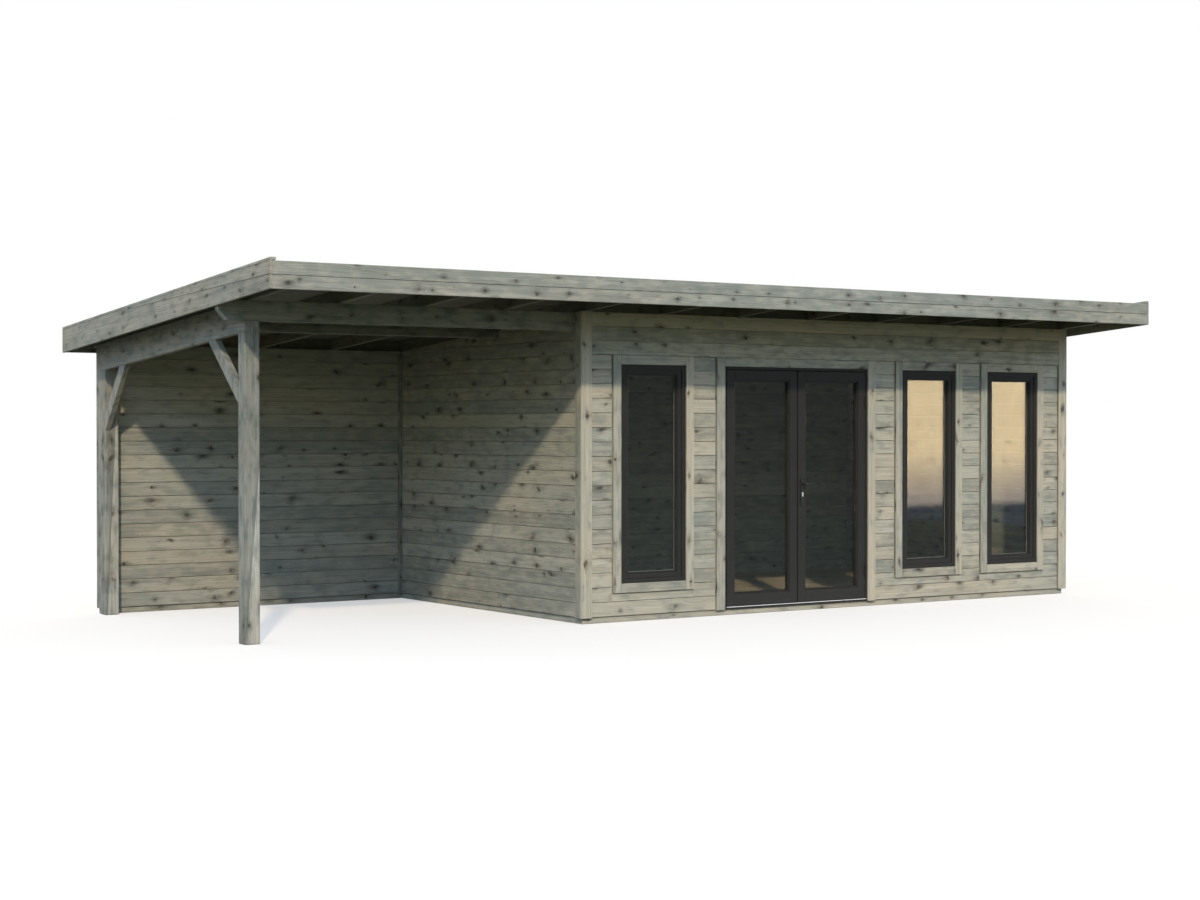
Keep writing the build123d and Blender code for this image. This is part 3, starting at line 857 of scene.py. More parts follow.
        smoke = wiring.times(halo, wiring.ease(blotch, *self.smoke_limits))
        smoke = wiring.total((smoke, tail), self.smoke_weights)
        soft_knot = wiring.scaled(given["Knot"], self.smoke_paleness)
        colour = wiring.mix(smoke, colour, soft_knot)
        strength = wiring.line(chance[2], *self.strength_range)
        colour = wiring.mix(wiring.times(knot, strength), colour, given["Knot"])
        pin_away, pin_chance = self.spots(wiring, board, self.pin_cell)
        pin_radius = wiring.math("LESS_THAN", pin_chance[1], self.pin_chance)
        pin_radius = wiring.line(pin_radius, self.pin_radius, HAIR)
        pin = self.fade(wiring, wiring.vector("LENGTH", pin_away), pin_radius, self.knot_reach)
        colour = wiring.mix(wiring.times(pin, self.pin_strength), colour, soft_knot)

        wiring.feed(result["Colour"], colour)
        wiring.feed(result["Roughness"], wiring.line(figure, *self.roughness_range))
        wiring.feed(result["Height"], wiring.total((figure, knot), self.height_weights))
        return wiring.tree


@dataclass(frozen=True)
class FineSpeckle:
    """Node group of small unevenness for paint, metal, glass and felt.

    Attributes:
        details: octaves of the broad and the fine noise.
        weights: their shares.
        limits: where the worn colour starts and is full.
        roughness_spread: how far the roughness strays.
    """

    name: str = "fine speckle"
    details: Pair = (4.0, 2.0)
    weights: Pair = (0.5, 0.5)
    limits: Pair = (0.34, 0.66)
    roughness_spread: float = 0.35

    def build(self) -> bpy.types.NodeTree:
        """Build the group.

        Returns:
            A group that varies a colour, a roughness and a height with fine and broad noise.
        """
        colours = dict.fromkeys(("Colour", "Worn"), "Color")
        numbers = dict.fromkeys(("Roughness", "Fine", "Broad", "Unevenness"), "Float")
        wiring, given, result = open_group(self.name, {"Place": "Vector"} | colours | numbers)
        noises = []
        for size, detail in zip(("Broad", "Fine"), self.details):
            feeds = {"Vector": given["Place"], "Scale": given[size], "Detail": detail}
            noises.append(wiring.add("ShaderNodeTexNoise", feeds, noise_dimensions="3D").outputs["Fac"])
        share = wiring.total(noises, self.weights)
        amount = wiring.times(wiring.ease(share, *self.limits), given["Unevenness"])
        wiring.feed(result["Colour"], wiring.mix(amount, given["Colour"], given["Worn"]))
        stray = wiring.math("SUBTRACT", share, 0.5)
        roughness = wiring.line(stray, self.roughness_spread, given["Roughness"])
        wiring.feed(result["Roughness"], wiring.math("MAXIMUM", roughness, 0.0))
        wiring.feed(result["Height"], noises[-1])
        return wiring.tree


class Groups:
    """The node groups that finishes share, each built once."""

    _made: dict[str, bpy.types.NodeTree] = {}

    @classmethod
    def get(cls, maker: SoftwoodFigure | FineSpeckle) -> bpy.types.NodeTree:
        """Build the maker's group, or give it again.

        Args:
            maker: what builds the group.

        Returns:
            The group.
        """
        if maker.name not in cls._made:
            cls._made[maker.name] = maker.build()
        return cls._made[maker.name]


def start_material(name: str) -> tuple[Material, Wiring, Node]:
    """Start a material with one Principled shader.

    Args:
        name: name of the material.

    Returns:
        The material, its wiring and the shader.
    """
    material = bpy.data.materials.new(name)
    material.use_nodes = True
    wiring = Wiring(material.node_tree)
    return material, wiring, material.node_tree.nodes["Principled BSDF"]


def place_group(
    wiring: Wiring, shader: Node, maker: SoftwoodFigure | FineSpeckle, depth: float, **values: object
) -> Node:
    """Put a group into a material and join it to the shader.

    Args:
        wiring: wiring of the material.
        shader: the material's Principled shader.
        maker: what builds the group.
        depth: depth of the bump in metres.
        values: the group's inputs, with _ for a space.

    Returns:
        The group's node.
    """
    feeds = {key.replace("_", " "): value for key, value in values.items()}
    group = wiring.add("ShaderNodeGroup", feeds, node_tree=Groups.get(maker))
    bump = wiring.add("ShaderNodeBump", {"Distance": depth, "Height": group.outputs["Height"]})
    wiring.feed(shader.inputs["Base Color"], group.outputs["Colour"])
    wiring.feed(shader.inputs["Roughness"], group.outputs["Roughness"])
    wiring.feed(shader.inputs["Normal"], bump.outputs["Normal"])
    return group


@dataclass(frozen=True)
class Seam:
    """Slanting glue line of a post: its X at the ground, and how far X changes per unit of height."""

    foot_x: float
    lean: float


@dataclass(frozen=True)
class TimberFinish:
    """Softwood of one treatment.

    Attributes:
        pale, middle, stained, knot: its colours.
        knot_radius: radius of a usual knot in metres.
        knot_chance: part of the cells that hold a knot.
        figure: strength of the grain's light and dark.
        stain: strength of the stained patches.
        depth: depth of the grain in metres.
        specular: strength of the reflection.
        copy_tone: tone of copies of frame nodes.
        lamella_tint: tint of the paler wedge that a post may be glued up with.
        glue_line: width over which it starts.
        glue_shade, glue_darkness: width and strength of the darker grain before it.
    """

    name: str
    pale: Colour
    middle: Colour
    stained: Colour
    knot: Colour
    knot_radius: float = 0.015
    knot_chance: float = 0.46
    figure: float = 0.44
    stain: float = 0.62
    depth: float = 0.0012
    specular: float = 0.3
    copy_tone: float = 0.55
    lamella_tint: Colour = (1.5, 1.46, 1.45)
    glue_line: float = 0.004
    glue_shade: float = 0.028
    glue_darkness: float = 0.5

    def add_lamella(self, wiring: Wiring, shader: Node, place: Socket, seam: Seam) -> None:
        """Make the timber paler on the right of a slanting glue line, and darker just before it.

        The line is x = foot_x + lean z, and the measure is the distance in x from it.

        Args:
            wiring: wiring of the material.
            shader: the material's shader.
            place: Object coordinates.
            seam: the line.
        """
        x, _, z = wiring.parts(place)
        beside = wiring.math("SUBTRACT", x, wiring.line(z, seam.lean, seam.foot_x))
        colour = shader.inputs["Base Color"].links[0].from_socket
        paler = wiring.vector("MULTIPLY", colour, self.lamella_tint)
        before = wiring.ease(beside, -self.glue_shade, 0.0, 0.0, self.glue_darkness)
        darker = wiring.mix(before, colour, self.stained)
        after = wiring.ease(beside, 0.0, self.glue_line)
        wiring.feed(shader.inputs["Base Color"], wiring.mix(after, darker, paler))

    def material(self, grain: Grain = Grain.BOARD, seam: Seam | None = None) -> Material:
        """Make the material for boards that carry their own map, or for copies of frame nodes.

        Args:
            grain: where the along and across measures come from.
            seam: glue line of a paler wedge, if there is one.

        Returns:
            The material.
        """
        material, wiring, shader = start_material(f"{self.name} {grain.name.lower()}")
        place = wiring.place()
        if grain is Grain.BOARD:
            board = wiring.add("ShaderNodeUVMap", uv_map=BOARD_UV).outputs["UV"]
            tone = wiring.add("ShaderNodeAttribute", attribute_name=TONE).outputs["Fac"]
        else:
            along = np.array(grain.value)
            ways = {"X": along, "Y": 1 - along}
            feeds = {key: wiring.vector("DOT_PRODUCT", place, tuple(way)) for key, way in ways.items()}
            board = wiring.add("ShaderNodeCombineXYZ", feeds).outputs["Vector"]
            tone = self.copy_tone
        place_group(
            wiring,
            shader,
            SoftwoodFigure(),
            self.depth,
            Board=board,
            Place=place,
            Tone=tone,
            Pale=self.pale,
            Middle=self.middle,
            Stained=self.stained,
            Knot=self.knot,
            Knot_Radius=self.knot_radius,
            Knot_Chance=self.knot_chance,
            Figure=self.figure,
            Stain=self.stain,
        )
        if seam is not None:
            self.add_lamella(wiring, shader, place, seam)
        shader.inputs["Specular IOR Level"].default_value = self.specular
        return material


@dataclass(frozen=True)
class CoatedFinish:
    """Paint, metal or felt with fine speckle.

    Attributes:
        colour, worn: main colour, and the one that it varies towards.
        roughness: mean roughness.
        metallic: 1 for bare metal.
        fine, broad: turns of the fine and the broad noise per metre.
        unevenness: strength of the colour's variation.
        depth: depth of the bump in metres.
        specular: strength of the reflection, 0.5 for usual paint.
        tone_range: how far the colour follows the piece's own tones.
    """

    name: str
    colour: Colour
    worn: Colour
    roughness: float
    metallic: float = 0.0
    fine: float = 420.0
    broad: float = 5.0
    unevenness: float = 0.5
    depth: float = 0.0002
    specular: float = 0.5
    tone_range: float = 0.0

    def material(self) -> Material:
        """Make the material on Object coordinates.

        Returns:
            The material.
        """
        material, wiring, shader = start_material(self.name)
        group = place_group(
            wiring,
            shader,
            FineSpeckle(),
            self.depth,
            Place=wiring.place(),
            Colour=self.colour,
            Worn=self.worn,
            Roughness=self.roughness,
            Fine=self.fine,
            Broad=self.broad,
            Unevenness=self.unevenness,
        )
        if self.tone_range:
            tone = wiring.add("ShaderNodeAttribute", attribute_name=TONE).outputs["Fac"]
            amount = wiring.line(tone, self.tone_range, 1 - self.tone_range / 2)
            wiring.feed(shader.inputs["Base Color"], wiring.scaled(group.outputs["Colour"], amount))
        shader.inputs["Metallic"].default_value = self.metallic
        shader.inputs["Specular IOR Level"].default_value = self.specular
        return material


@dataclass(frozen=True)
class GlassFinish(CoatedFinish):
    """Clear glass with a breath of unevenness in its tint and its surface.

    Attributes:
        index: refractive index.
    """

    roughness: float = 0.0
    fine: float = 9.0
    broad: float = 2.0
    depth: float = 0.00005
    index: float = 1.46

    def material(self) -> Material:
        """Make the speckled material even in its roughness, and let light through.

        Returns:
            The material.
        """
        material = super().material()
        shader = material.node_tree.nodes["Principled BSDF"]
        material.node_tree.links.remove(shader.inputs["Roughness"].links[0])
        shader.inputs["Roughness"].default_value = self.roughness
        shader.inputs["Transmission Weight"].default_value = 1.0
        shader.inputs["IOR"].default_value = self.index
        return material


# The treated timber as it shows in the open; the terrace, post, side fascia, roof and deck timbers below are
# darker copies of it that paint the shade their parts lie in.
FRONT_TIMBER = TimberFinish(
    "front timber",
    pale=(0.435, 0.405, 0.33),
    middle=(0.322, 0.311, 0.254),
    stained=(0.2, 0.21, 0.188),
    knot=(0.034, 0.031, 0.025),
)
# Darker copy of the front timber: painted shade for the terrace walls under the roof.
SHADED_TERRACE_TIMBER = TimberFinish(
    "terrace timber",
    pale=(0.36, 0.345, 0.29),
    middle=(0.275, 0.27, 0.23),
    stained=(0.18, 0.196, 0.174),
    knot=(0.03, 0.028, 0.023),
)
# Darker, greyer copy of the front timber for the terrace frame, its end board and the corner lath: painted
# shade under the terrace roof.
SHADED_POST_TIMBER = TimberFinish(
    "post timber",
    pale=(0.292, 0.282, 0.243),
    middle=(0.21, 0.207, 0.182),
    stained=(0.115, 0.129, 0.117),
    knot=(0.032, 0.03, 0.026),
    figure=0.5,
    stain=0.8,
)
FASCIA_TIMBER = TimberFinish(
    "fascia timber",
    pale=(0.385, 0.372, 0.32),
    middle=(0.3, 0.296, 0.256),
    stained=(0.18, 0.2, 0.18),
    knot=(0.032, 0.03, 0.026),
    knot_radius=0.0125,
    knot_chance=0.88,
)
# Darker copy of the fascia timber for the side fascias: painted shade on their sideways faces.
SHADED_SIDE_FASCIA_TIMBER = replace(
    FASCIA_TIMBER,
    name="side fascia timber",
    pale=(0.31, 0.3, 0.26),
    middle=(0.238, 0.236, 0.205),
    stained=(0.138, 0.155, 0.142),
)
# Dark copy of the treated timber for the rafters and the blocking: painted shade under the roof.
SHADED_ROOF_TIMBER = TimberFinish(
    "roof timber",
    pale=(0.17, 0.167, 0.13),
    middle=(0.13, 0.13, 0.1),
    stained=(0.09, 0.098, 0.077),
    knot=(0.03, 0.028, 0.022),
)
# Still darker copy for the deck boards, whose undersides show in the soffit: painted shade under the roof.
SHADED_DECK_TIMBER = replace(
    SHADED_ROOF_TIMBER,
    name="deck timber",
    pale=(0.11, 0.107, 0.077),
    middle=(0.085, 0.083, 0.06),
    stained=(0.06, 0.065, 0.049),
)
FLOOR_TIMBER = TimberFinish(
    "floor timber",
    pale=(0.55, 0.44, 0.32),
    middle=(0.46, 0.36, 0.26),
    stained=(0.38, 0.29, 0.205),
    knot=(0.10, 0.055, 0.028),
    stain=0.4,
)
DARK_PAINT = CoatedFinish(
    "dark joinery paint", (0.0215, 0.0212, 0.0208), (0.031, 0.0306, 0.03), 0.46, specular=0.3
)
DARK_METAL = CoatedFinish(
    "dark coated metal", (0.018, 0.018, 0.019), (0.035, 0.035, 0.037), 0.36, fine=900.0, specular=0.35
)
BRIGHT_METAL = CoatedFinish(
    "bright lock metal", (0.88, 0.88, 0.87), (0.72, 0.72, 0.72), 0.34, metallic=0.35, fine=1200.0
)
MILL_METAL = CoatedFinish(
    "threshold metal", (0.84, 0.84, 0.84), (0.66, 0.66, 0.66), 0.4, metallic=0.3, fine=700.0
)
SPACER_METAL = CoatedFinish("spacer metal", (0.2, 0.2, 0.195), (0.14, 0.14, 0.135), 0.5, fine=600.0)
SEAL_RUBBER = CoatedFinish("seal rubber", (0.012, 0.012, 0.012), (0.022, 0.022, 0.022), 0.6, fine=500.0)
MINERAL_FELT = CoatedFinish(
    "mineral felt", (0.05, 0.052, 0.052), (0.096, 0.1, 0.097), 0.88, fine=520.0, broad=3.4, unevenness=0.7,
    depth=0.0012, tone_range=0.5,
)
CLEAR_GLASS = GlassFinish("clear glass", (0.76, 0.8, 0.77), (0.7, 0.745, 0.715))


@dataclass(frozen=True)
class BoardedFace:
    """One boarded face of a wall.

    Attributes:
        facing: side that the boards look to.
        place: where their face lies.
        thickness: their thickness.
        run: first and last place along the wall.
        face_arris, back_arris: chamfers of the edges of a board's face and of its back.
    """

    facing: Facing
    place: float
    thickness: float
    run: Pair
    face_arris: float = 0.003
    back_arris: float = 0.0005

    def board(self, stations: Limits, low: float, highs: Limits) -> Stick:
        """One level board, with its upper edge given at each station.

        Args:
            stations: places along the wall.
            low: its lower edge.
            highs: its upper edge at each station.

        Returns:
            The board.
        """
        level = self.facing in (Facing.FRONT, Facing.BACK)
        inward = 1 if self.facing in (Facing.FRONT, Facing.LEFT) else -1
        limits = sorted((self.place, self.place + inward * self.thickness))
        near, far = self.face_arris, self.back_arris
        if self.facing in (Facing.BACK, Facing.LEFT):
            near, far = far, near
        return Stick(
            start=(stations[0], 0.0, 0.0) if level else (0.0, stations[0], 0.0),
            axis=X_WAY if level else Y_WAY,
            up=Z_WAY,
            stations=tuple(place - stations[0] for place in stations),
            lows=(low,) * len(stations),
            highs=tuple(highs),
            sides=tuple(limits) if level else (-limits[1], -limits[0]),
            arrises=(near, far, far, near),
        )


@dataclass
class Walls:
    """Boarded walls: cores, outside boards in level rows, and lining boards inside.

    Attributes:
        board_pitch: cover width of a board.
        rows, rows_below_header: rows from the sill to the roof, and those under the header boards.
        joint: open joint between two boards.
        end_gap: shadow gap at a board's ends.
        cladding, lining: thickness of the outside and of the inside boards.
        least_board: least height of a board that is cut under the roof.
        core_arris, core_clear: chamfer of the cores, and how far they keep clear of the boards.
    """

    slope: Slope
    timber: Material
    sheltered_timber: Material
    board_pitch: float = 0.114
    rows: int = 24
    rows_below_header: int = 18
    joint: float = 0.003
    end_gap: float = 0.006
    cladding: float = 0.014
    lining: float = 0.012
    least_board: float = 0.012
    core_arris: float = 0.003
    core_clear: float = 0.001

    def __post_init__(self) -> None:
        """Read the walls' places from the frame."""
        self.header = Extent.of("header_boards")
        self.left = Extent.of("left_wall")
        self.right = Extent.of("right_wall")
        self.back = Extent.of("back_wall")
        self.terrace = Extent.of("terrace_back_wall")
        self.front = Extent.of("front_wall_left")
        self.room = (self.left.right, self.right.left)
        self.windows = [Extent.of(f"{name}_window_frame") for name in ("left", "middle", "right")]
        self.door = Extent.of("door_frame")
        self.openings = sorted([*self.windows, self.door], key=lambda opening: opening.left)

    def row_limits(self) -> list[Pair]:
        """Lower and upper edge of each row of boards."""
        base = self.header.bottom - self.board_pitch * self.rows_below_header
        return even_rows(base, base + self.board_pitch * self.rows, self.rows, self.joint)

    def sloped_rows(self, face: BoardedFace) -> list[Stick]:
        """Rows on a wall along Y whose top is cut to the roof slope.

        Args:
            face: the boarded face.

        Returns:
            The boards, the upper ones cut slanting.
        """
        boards = []
        start, stop = face.run
        for low, high in self.row_limits():
            end = min(stop, self.slope.where(low + self.least_board))
            if end <= start:
                continue
            turn = self.slope.where(high)
            places = [start, turn, end] if start < turn < end else [start, end]
            boards.append(face.board(places, low, [min(high, self.slope.under(place)) for place in places]))
        return boards

    def level_rows(self, face: BoardedFace, holes: Sequence[Extent] = ()) -> list[Stick]:
        """Rows on a wall along X, broken at holes and notched where a hole starts inside a row.

        Args:
            face: the boarded face.
            holes: boxes that the boards keep clear of, from left to right.

        Returns:
            The boards, cut level under the roof.
        """
        boards = []
        top = self.slope.under(face.place) - self.core_clear
        for low, full in self.row_limits():
            high = min(full, top)
            least = low + self.least_board
            if least > high:
                continue
            places, highs = [face.run[0]], [high]
            for hole in holes:
                before, after = hole.left - self.end_gap, hole.right + self.end_gap
                if hole.bottom <= least and hole.top >= high - self.least_board:
                    boards.append(face.board([*places, before], low, [*highs, high]))
                    places, highs = [after], [high]
                elif least < hole.bottom < high:
                    notch = hole.bottom - self.end_gap / 2
                    places += [before, before + HAIR, after - HAIR, after]
                    highs += [high, notch, notch, high]
            boards.append(face.board([*places, face.run[1]], low, [*highs, high]))
        return boards

    def front_cores(self) -> list[Stick]:
        """Cores of the front wall between, under and over its openings.

        Returns:
            The slabs.
        """
        clear = self.core_clear
        depth = (self.front.front + self.cladding + clear, self.front.back - self.lining - clear)
        sill, top = self.front.bottom, self.slope.under(self.front.back)
        edges = [edge for opening in self.openings for edge in opening.x]
        edges = [self.front.left + self.cladding, *edges, self.right.right - self.cladding]
        piers = [
            Stick.along_z(x, depth, (sill, top), self.core_arris) for x in zip(edges[::2], edges[1::2])
        ]
        lintels = [
            Stick.along_x(opening.x, depth, (opening.top, top), self.core_arris) for opening in self.openings
        ]
        aprons = [
            Stick.along_x(window.x, depth, (sill, window.bottom), self.core_arris) for window in self.windows
        ]
        return piers + lintels + aprons

    def sloped_core(self, x: Limits, y: Limits) -> Stick:
        """Slab of a wall along Y between limits in plan, cut to the roof slope."""
        level = Stick.along_y(x, y, (self.left.bottom, self.slope.under(y[0])), self.core_arris)
        return replace(level, highs=(self.slope.under(y[0]), self.slope.under(y[1])))

    def level_core(self, x: Limits, y: Limits) -> Stick:
        """Slab of a wall along X between limits in plan, as high as its lower edge under the roof."""
        return Stick.along_x(x, y, (self.back.bottom, self.slope.under(y[1])), self.core_arris)

    def build_front(self) -> None:
        """Build the front wall with its boards outside and inside."""
        gap = self.end_gap / 2
        trim = (self.header.left + gap, self.header.right - gap)
        boarded = BoardedFace(Facing.FRONT, self.front.front, self.cladding, trim)
        lined = BoardedFace(Facing.BACK, self.front.back, self.lining, self.room)
        rows = self.level_rows(boarded, self.casing_holes())
        sticks = [row for row in rows if row.lows[0] < self.header.bottom]
        sticks += self.level_rows(lined, self.openings) + self.front_cores()
        nodes = ("front_wall_left", "front_wall_right", "front_wall_over_door")
        place_sawn("front_wall_boards", 11, sticks, self.timber, *nodes)

    def casing_holes(self) -> list[Extent]:
        """Outlines of the casings round the windows and the door.

        Returns:
            Their boxes, from left to right.
        """
        casings = Extent.of("window_casings")
        margin = self.windows[0].left - casings.left
        holes = [
            replace(casings, left=window.left - margin, right=window.right + margin)
            for window in self.windows
        ]
        return sorted([*holes, Extent.of("door_casing")], key=lambda hole: hole.left)

    def build_sides(self) -> None:
        """Build the left and right walls, whose outside boards run on up to the corner boards."""
        reach = self.left.front - Extent.of("front_corner_trims").back - self.end_gap / 2
        for name, wall, facing, other, way, seed in (
            ("left_wall", self.left, Facing.LEFT, Facing.RIGHT, 1, 12),
            ("right_wall", self.right, Facing.RIGHT, Facing.LEFT, -1, 13),
        ):
            outside, inside = wall.x[::way]
            core = sorted((outside + way * (self.cladding + self.core_clear), inside - way * self.lining))
            run = (wall.front - reach, wall.back)
            sticks = self.sloped_rows(BoardedFace(facing, outside, self.cladding, run))
            sticks += self.sloped_rows(BoardedFace(other, inside, self.lining, wall.y))
            sticks.append(self.sloped_core(core, wall.y))
            place_sawn(f"{name}_boards", seed, sticks, self.timber, name)

    def build_back(self) -> None:
        """Build the back walls of the room and of the terrace."""
        trim, post = Extent.of("back_corner_trim"), Extent.of("back_post")
        back, terrace = self.back, self.terrace
        gap = self.end_gap / 2
        clad, lined = self.cladding + self.core_clear, self.lining + self.core_clear
        run = (back.left, trim.left - gap)
        sticks = self.level_rows(BoardedFace(Facing.BACK, back.back, self.cladding, run))
        sticks += self.level_rows(BoardedFace(Facing.FRONT, back.front, self.lining, self.room))
        core = (back.left, back.right - self.cladding)
        sticks.append(self.level_core(core, (back.front + lined, back.back - clad)))
        place_sawn("back_wall_boards", 14, sticks, self.timber, "back_wall")

        run = (terrace.left, terrace.right - HAIR)
        sheltered = (post.right + self.end_gap, terrace.right - gap)
        sticks = self.level_rows(BoardedFace(Facing.BACK, terrace.back, self.cladding, run))
        sticks += self.level_rows(BoardedFace(Facing.FRONT, terrace.front, self.cladding, sheltered))
        sticks.append(self.level_core(run, (terrace.front + clad, terrace.back - clad)))
        # The terrace wall takes the darker copy of the timber: painted shade under the terrace roof.
        place_sawn("terrace_wall_boards", 15, sticks, self.sheltered_timber, "terrace_back_wall")

    def build(self) -> None:
        """Build all walls."""
        self.build_front()
        self.build_sides()
        self.build_back()


@dataclass
class Trims:
    """Flat boards on the walls: header, corner boards, casings and the lath in the inner corner.

    Attributes:
        arris: chamfer of the boards' edges.
        header_boards: how many boards make up the header.
        joint: open joint between two boards.
        thickness: thickness of the boards.
        pale_tone, grey_tone: tones of the pale warm boards and of the cool grey ones.
    """

    slope: Slope
    timber: Material
    post_timber: Material
    arris: float = 0.002
    header_boards: int = 3
    joint: float = 0.002
    thickness: float = 0.016
    pale_tone: float = 0.94
    grey_tone: float = 0.42

    def build_header(self) -> None:
        """Build the level boards over the heads of the openings."""
        box = Extent.of("header_boards")
        x = (box.left + self.joint / 2, box.right - self.joint / 2)
        rows = even_rows(box.bottom, self.slope.under(box.back), self.header_boards, self.joint)
        sticks = [Stick.along_x(x, box.y, z, self.arris) for z in rows]
        place_sawn("header_board_rows", 21, sticks, self.timber, "header_boards")

    def upright_to_roof(self, x: Limits, y: Limits, bottom: float) -> Stick:
        """Upright board from a foot up to the rafters' underside, its top cut to the slope."""
        return Stick.along_z(x, y, (bottom, self.slope.under(y[0])), self.arris, self.slope.fall)

    def build_corners(self) -> None:
        """Build the lapped corner boards, the board on the terrace wall's end and the corner lath."""
        front = Extent.of("front_corner_trims")
        header = Extent.of("header_boards")
        face = front.front + self.thickness
        sticks = []
        for outer, inner, way in ((front.left, header.left, 1), (front.right, header.right, -1)):
            edge = outer + way * self.thickness
            face_board = self.upright_to_roof(sorted((outer, inner)), (front.front, face), front.bottom)
            side_board = self.upright_to_roof(sorted((outer, edge)), (face + HAIR, front.back), front.bottom)
            # The side boards take the grey tone and the face boards the pale one, so the side faces come out
            # cooler and darker: painted shade on the side faces.
            sticks += [replace(face_board, tone=self.pale_tone), replace(side_board, tone=self.grey_tone)]
        place_sawn("front_corner_boards", 22, sticks, self.timber, "front_corner_trims")

        back = Extent.of("back_corner_trim")
        inner = back.back - self.thickness
        side = back.right - self.thickness
        sticks = [
            self.upright_to_roof(back.x, (inner, back.back), back.bottom),
            self.upright_to_roof((side, back.right), (back.front, inner - HAIR), back.bottom),
        ]
        place_sawn("back_corner_boards", 23, sticks, self.timber, "back_corner_trim")

        # The end board and the corner lath take the darker post copy: painted shade under the terrace roof.
        end = Extent.of("terrace_end_trim")
        stick = self.upright_to_roof(end.x, end.y, end.bottom)
        place_sawn("terrace_end_board", 24, [stick], self.post_timber, "terrace_end_trim")

        lath = Extent.of("inner_corner_lath")
        stick = Stick.along_z(lath.x, lath.y, lath.z, self.arris)
        place_sawn("corner_lath", 25, [stick], self.post_timber, "inner_corner_lath")

    def casing(self, hole: Extent, outer: Extent, y: Limits, with_sill: bool) -> list[Stick]:
        """Boards of one casing: two uprights, a head and, round a window, a sill board.

        Args:
            hole: the opening that it frames.
            outer: its outer outline.
            y: its back and front.
            with_sill: close it at the bottom.

        Returns:
            The boards.
        """
        gap = self.joint / 2
        uprights = ((outer.left, hole.left, self.grey_tone), (hole.right, outer.right, self.pale_tone))
        sticks = [
            replace(Stick.along_z((left, right), y, (outer.bottom, outer.top - gap), self.arris), tone=tone)
            for left, right, tone in uprights
        ]
        level = [(hole.top, outer.top - gap)]
        if with_sill:
            level.append((outer.bottom, hole.bottom))
        sticks += [Stick.along_x((hole.left + gap, hole.right - gap), y, z, self.arris) for z in level]
        return sticks

    def build_casings(self, walls: Walls) -> None:
        """Build the casings round the windows and the door.

        Args:
            walls: the walls, which know the openings.
        """
        y = Extent.of("window_casings").y
        sticks = [
            stick
            for hole, outer in zip(walls.openings, walls.casing_holes())
            if hole is not walls.door
            for stick in self.casing(hole, outer, y, True)
        ]
        place_sawn("window_casing_boards", 26, sticks, self.timber, "window_casings")
        sticks = self.casing(walls.door, Extent.of("door_casing"), y, False)
        place_sawn("door_casing_boards", 27, sticks, self.timber, "door_casing")

    def build(self, walls: Walls) -> None:
        """Build all trims.

        Args:
            walls: the walls that they cover.
        """
        self.build_header()
        self.build_corners()
        self.build_casings(walls)


@dataclass
class Glazing:
    """Sealed double pane with a spacer between its two sheets: light metal in the windows, black rubber in
    the door leaves.

    Attributes:
        sheet: thickness of each sheet.
        spacer: width of the spacer's face.
        arris: chamfer of the edges.
        hold: how far the spacer keeps clear of the sheets.
    """

    sheet: float = 0.004
    spacer: float = 0.004
    arris: float = 0.0004
    hold: float = 0.0006

    def build(self, name: str, node: str, body: Body, glass: Material, metal: Material) -> None:
        """Build one pane and its spacer.

        Args:
            name: start of the pieces' names.
            node: frame node of the pane.
            body: body that it moves with.
            glass: finish of the sheets.
            metal: finish of the spacer; in the door leaves it is black rubber that paints the shade in the
                reveal.
        """
        box = Extent.of(node)
        sheets = [
            Stick.along_z(box.x, y, box.z, self.arris)
            for y in ((box.front, box.front + self.sheet), (box.back - self.sheet, box.back))
        ]
        surface = Sawmill(seed=31, end_arris=self.arris).saw(sheets)
        piece = place_piece(f"{name}_glass", surface, glass, body, [node])
        piece.visible_shadow = piece.visible_diffuse = False

        between = (box.front + self.sheet + self.hold, box.back - self.sheet - self.hold)
        left = (box.left, box.left + self.spacer)
        right = (box.right - self.spacer, box.right)
        sides = [Stick.along_z(x, between, box.z, self.arris) for x in (left, right)]
        level = [
            Stick.along_x((left[1], right[0]), between, z, self.arris)
            for z in ((box.bottom, box.bottom + self.spacer), (box.top - self.spacer, box.top))
        ]
        surface = Sawmill(seed=32, end_arris=self.arris).saw(sides + level)
        place_piece(f"{name}_spacer", surface, metal, body, [])


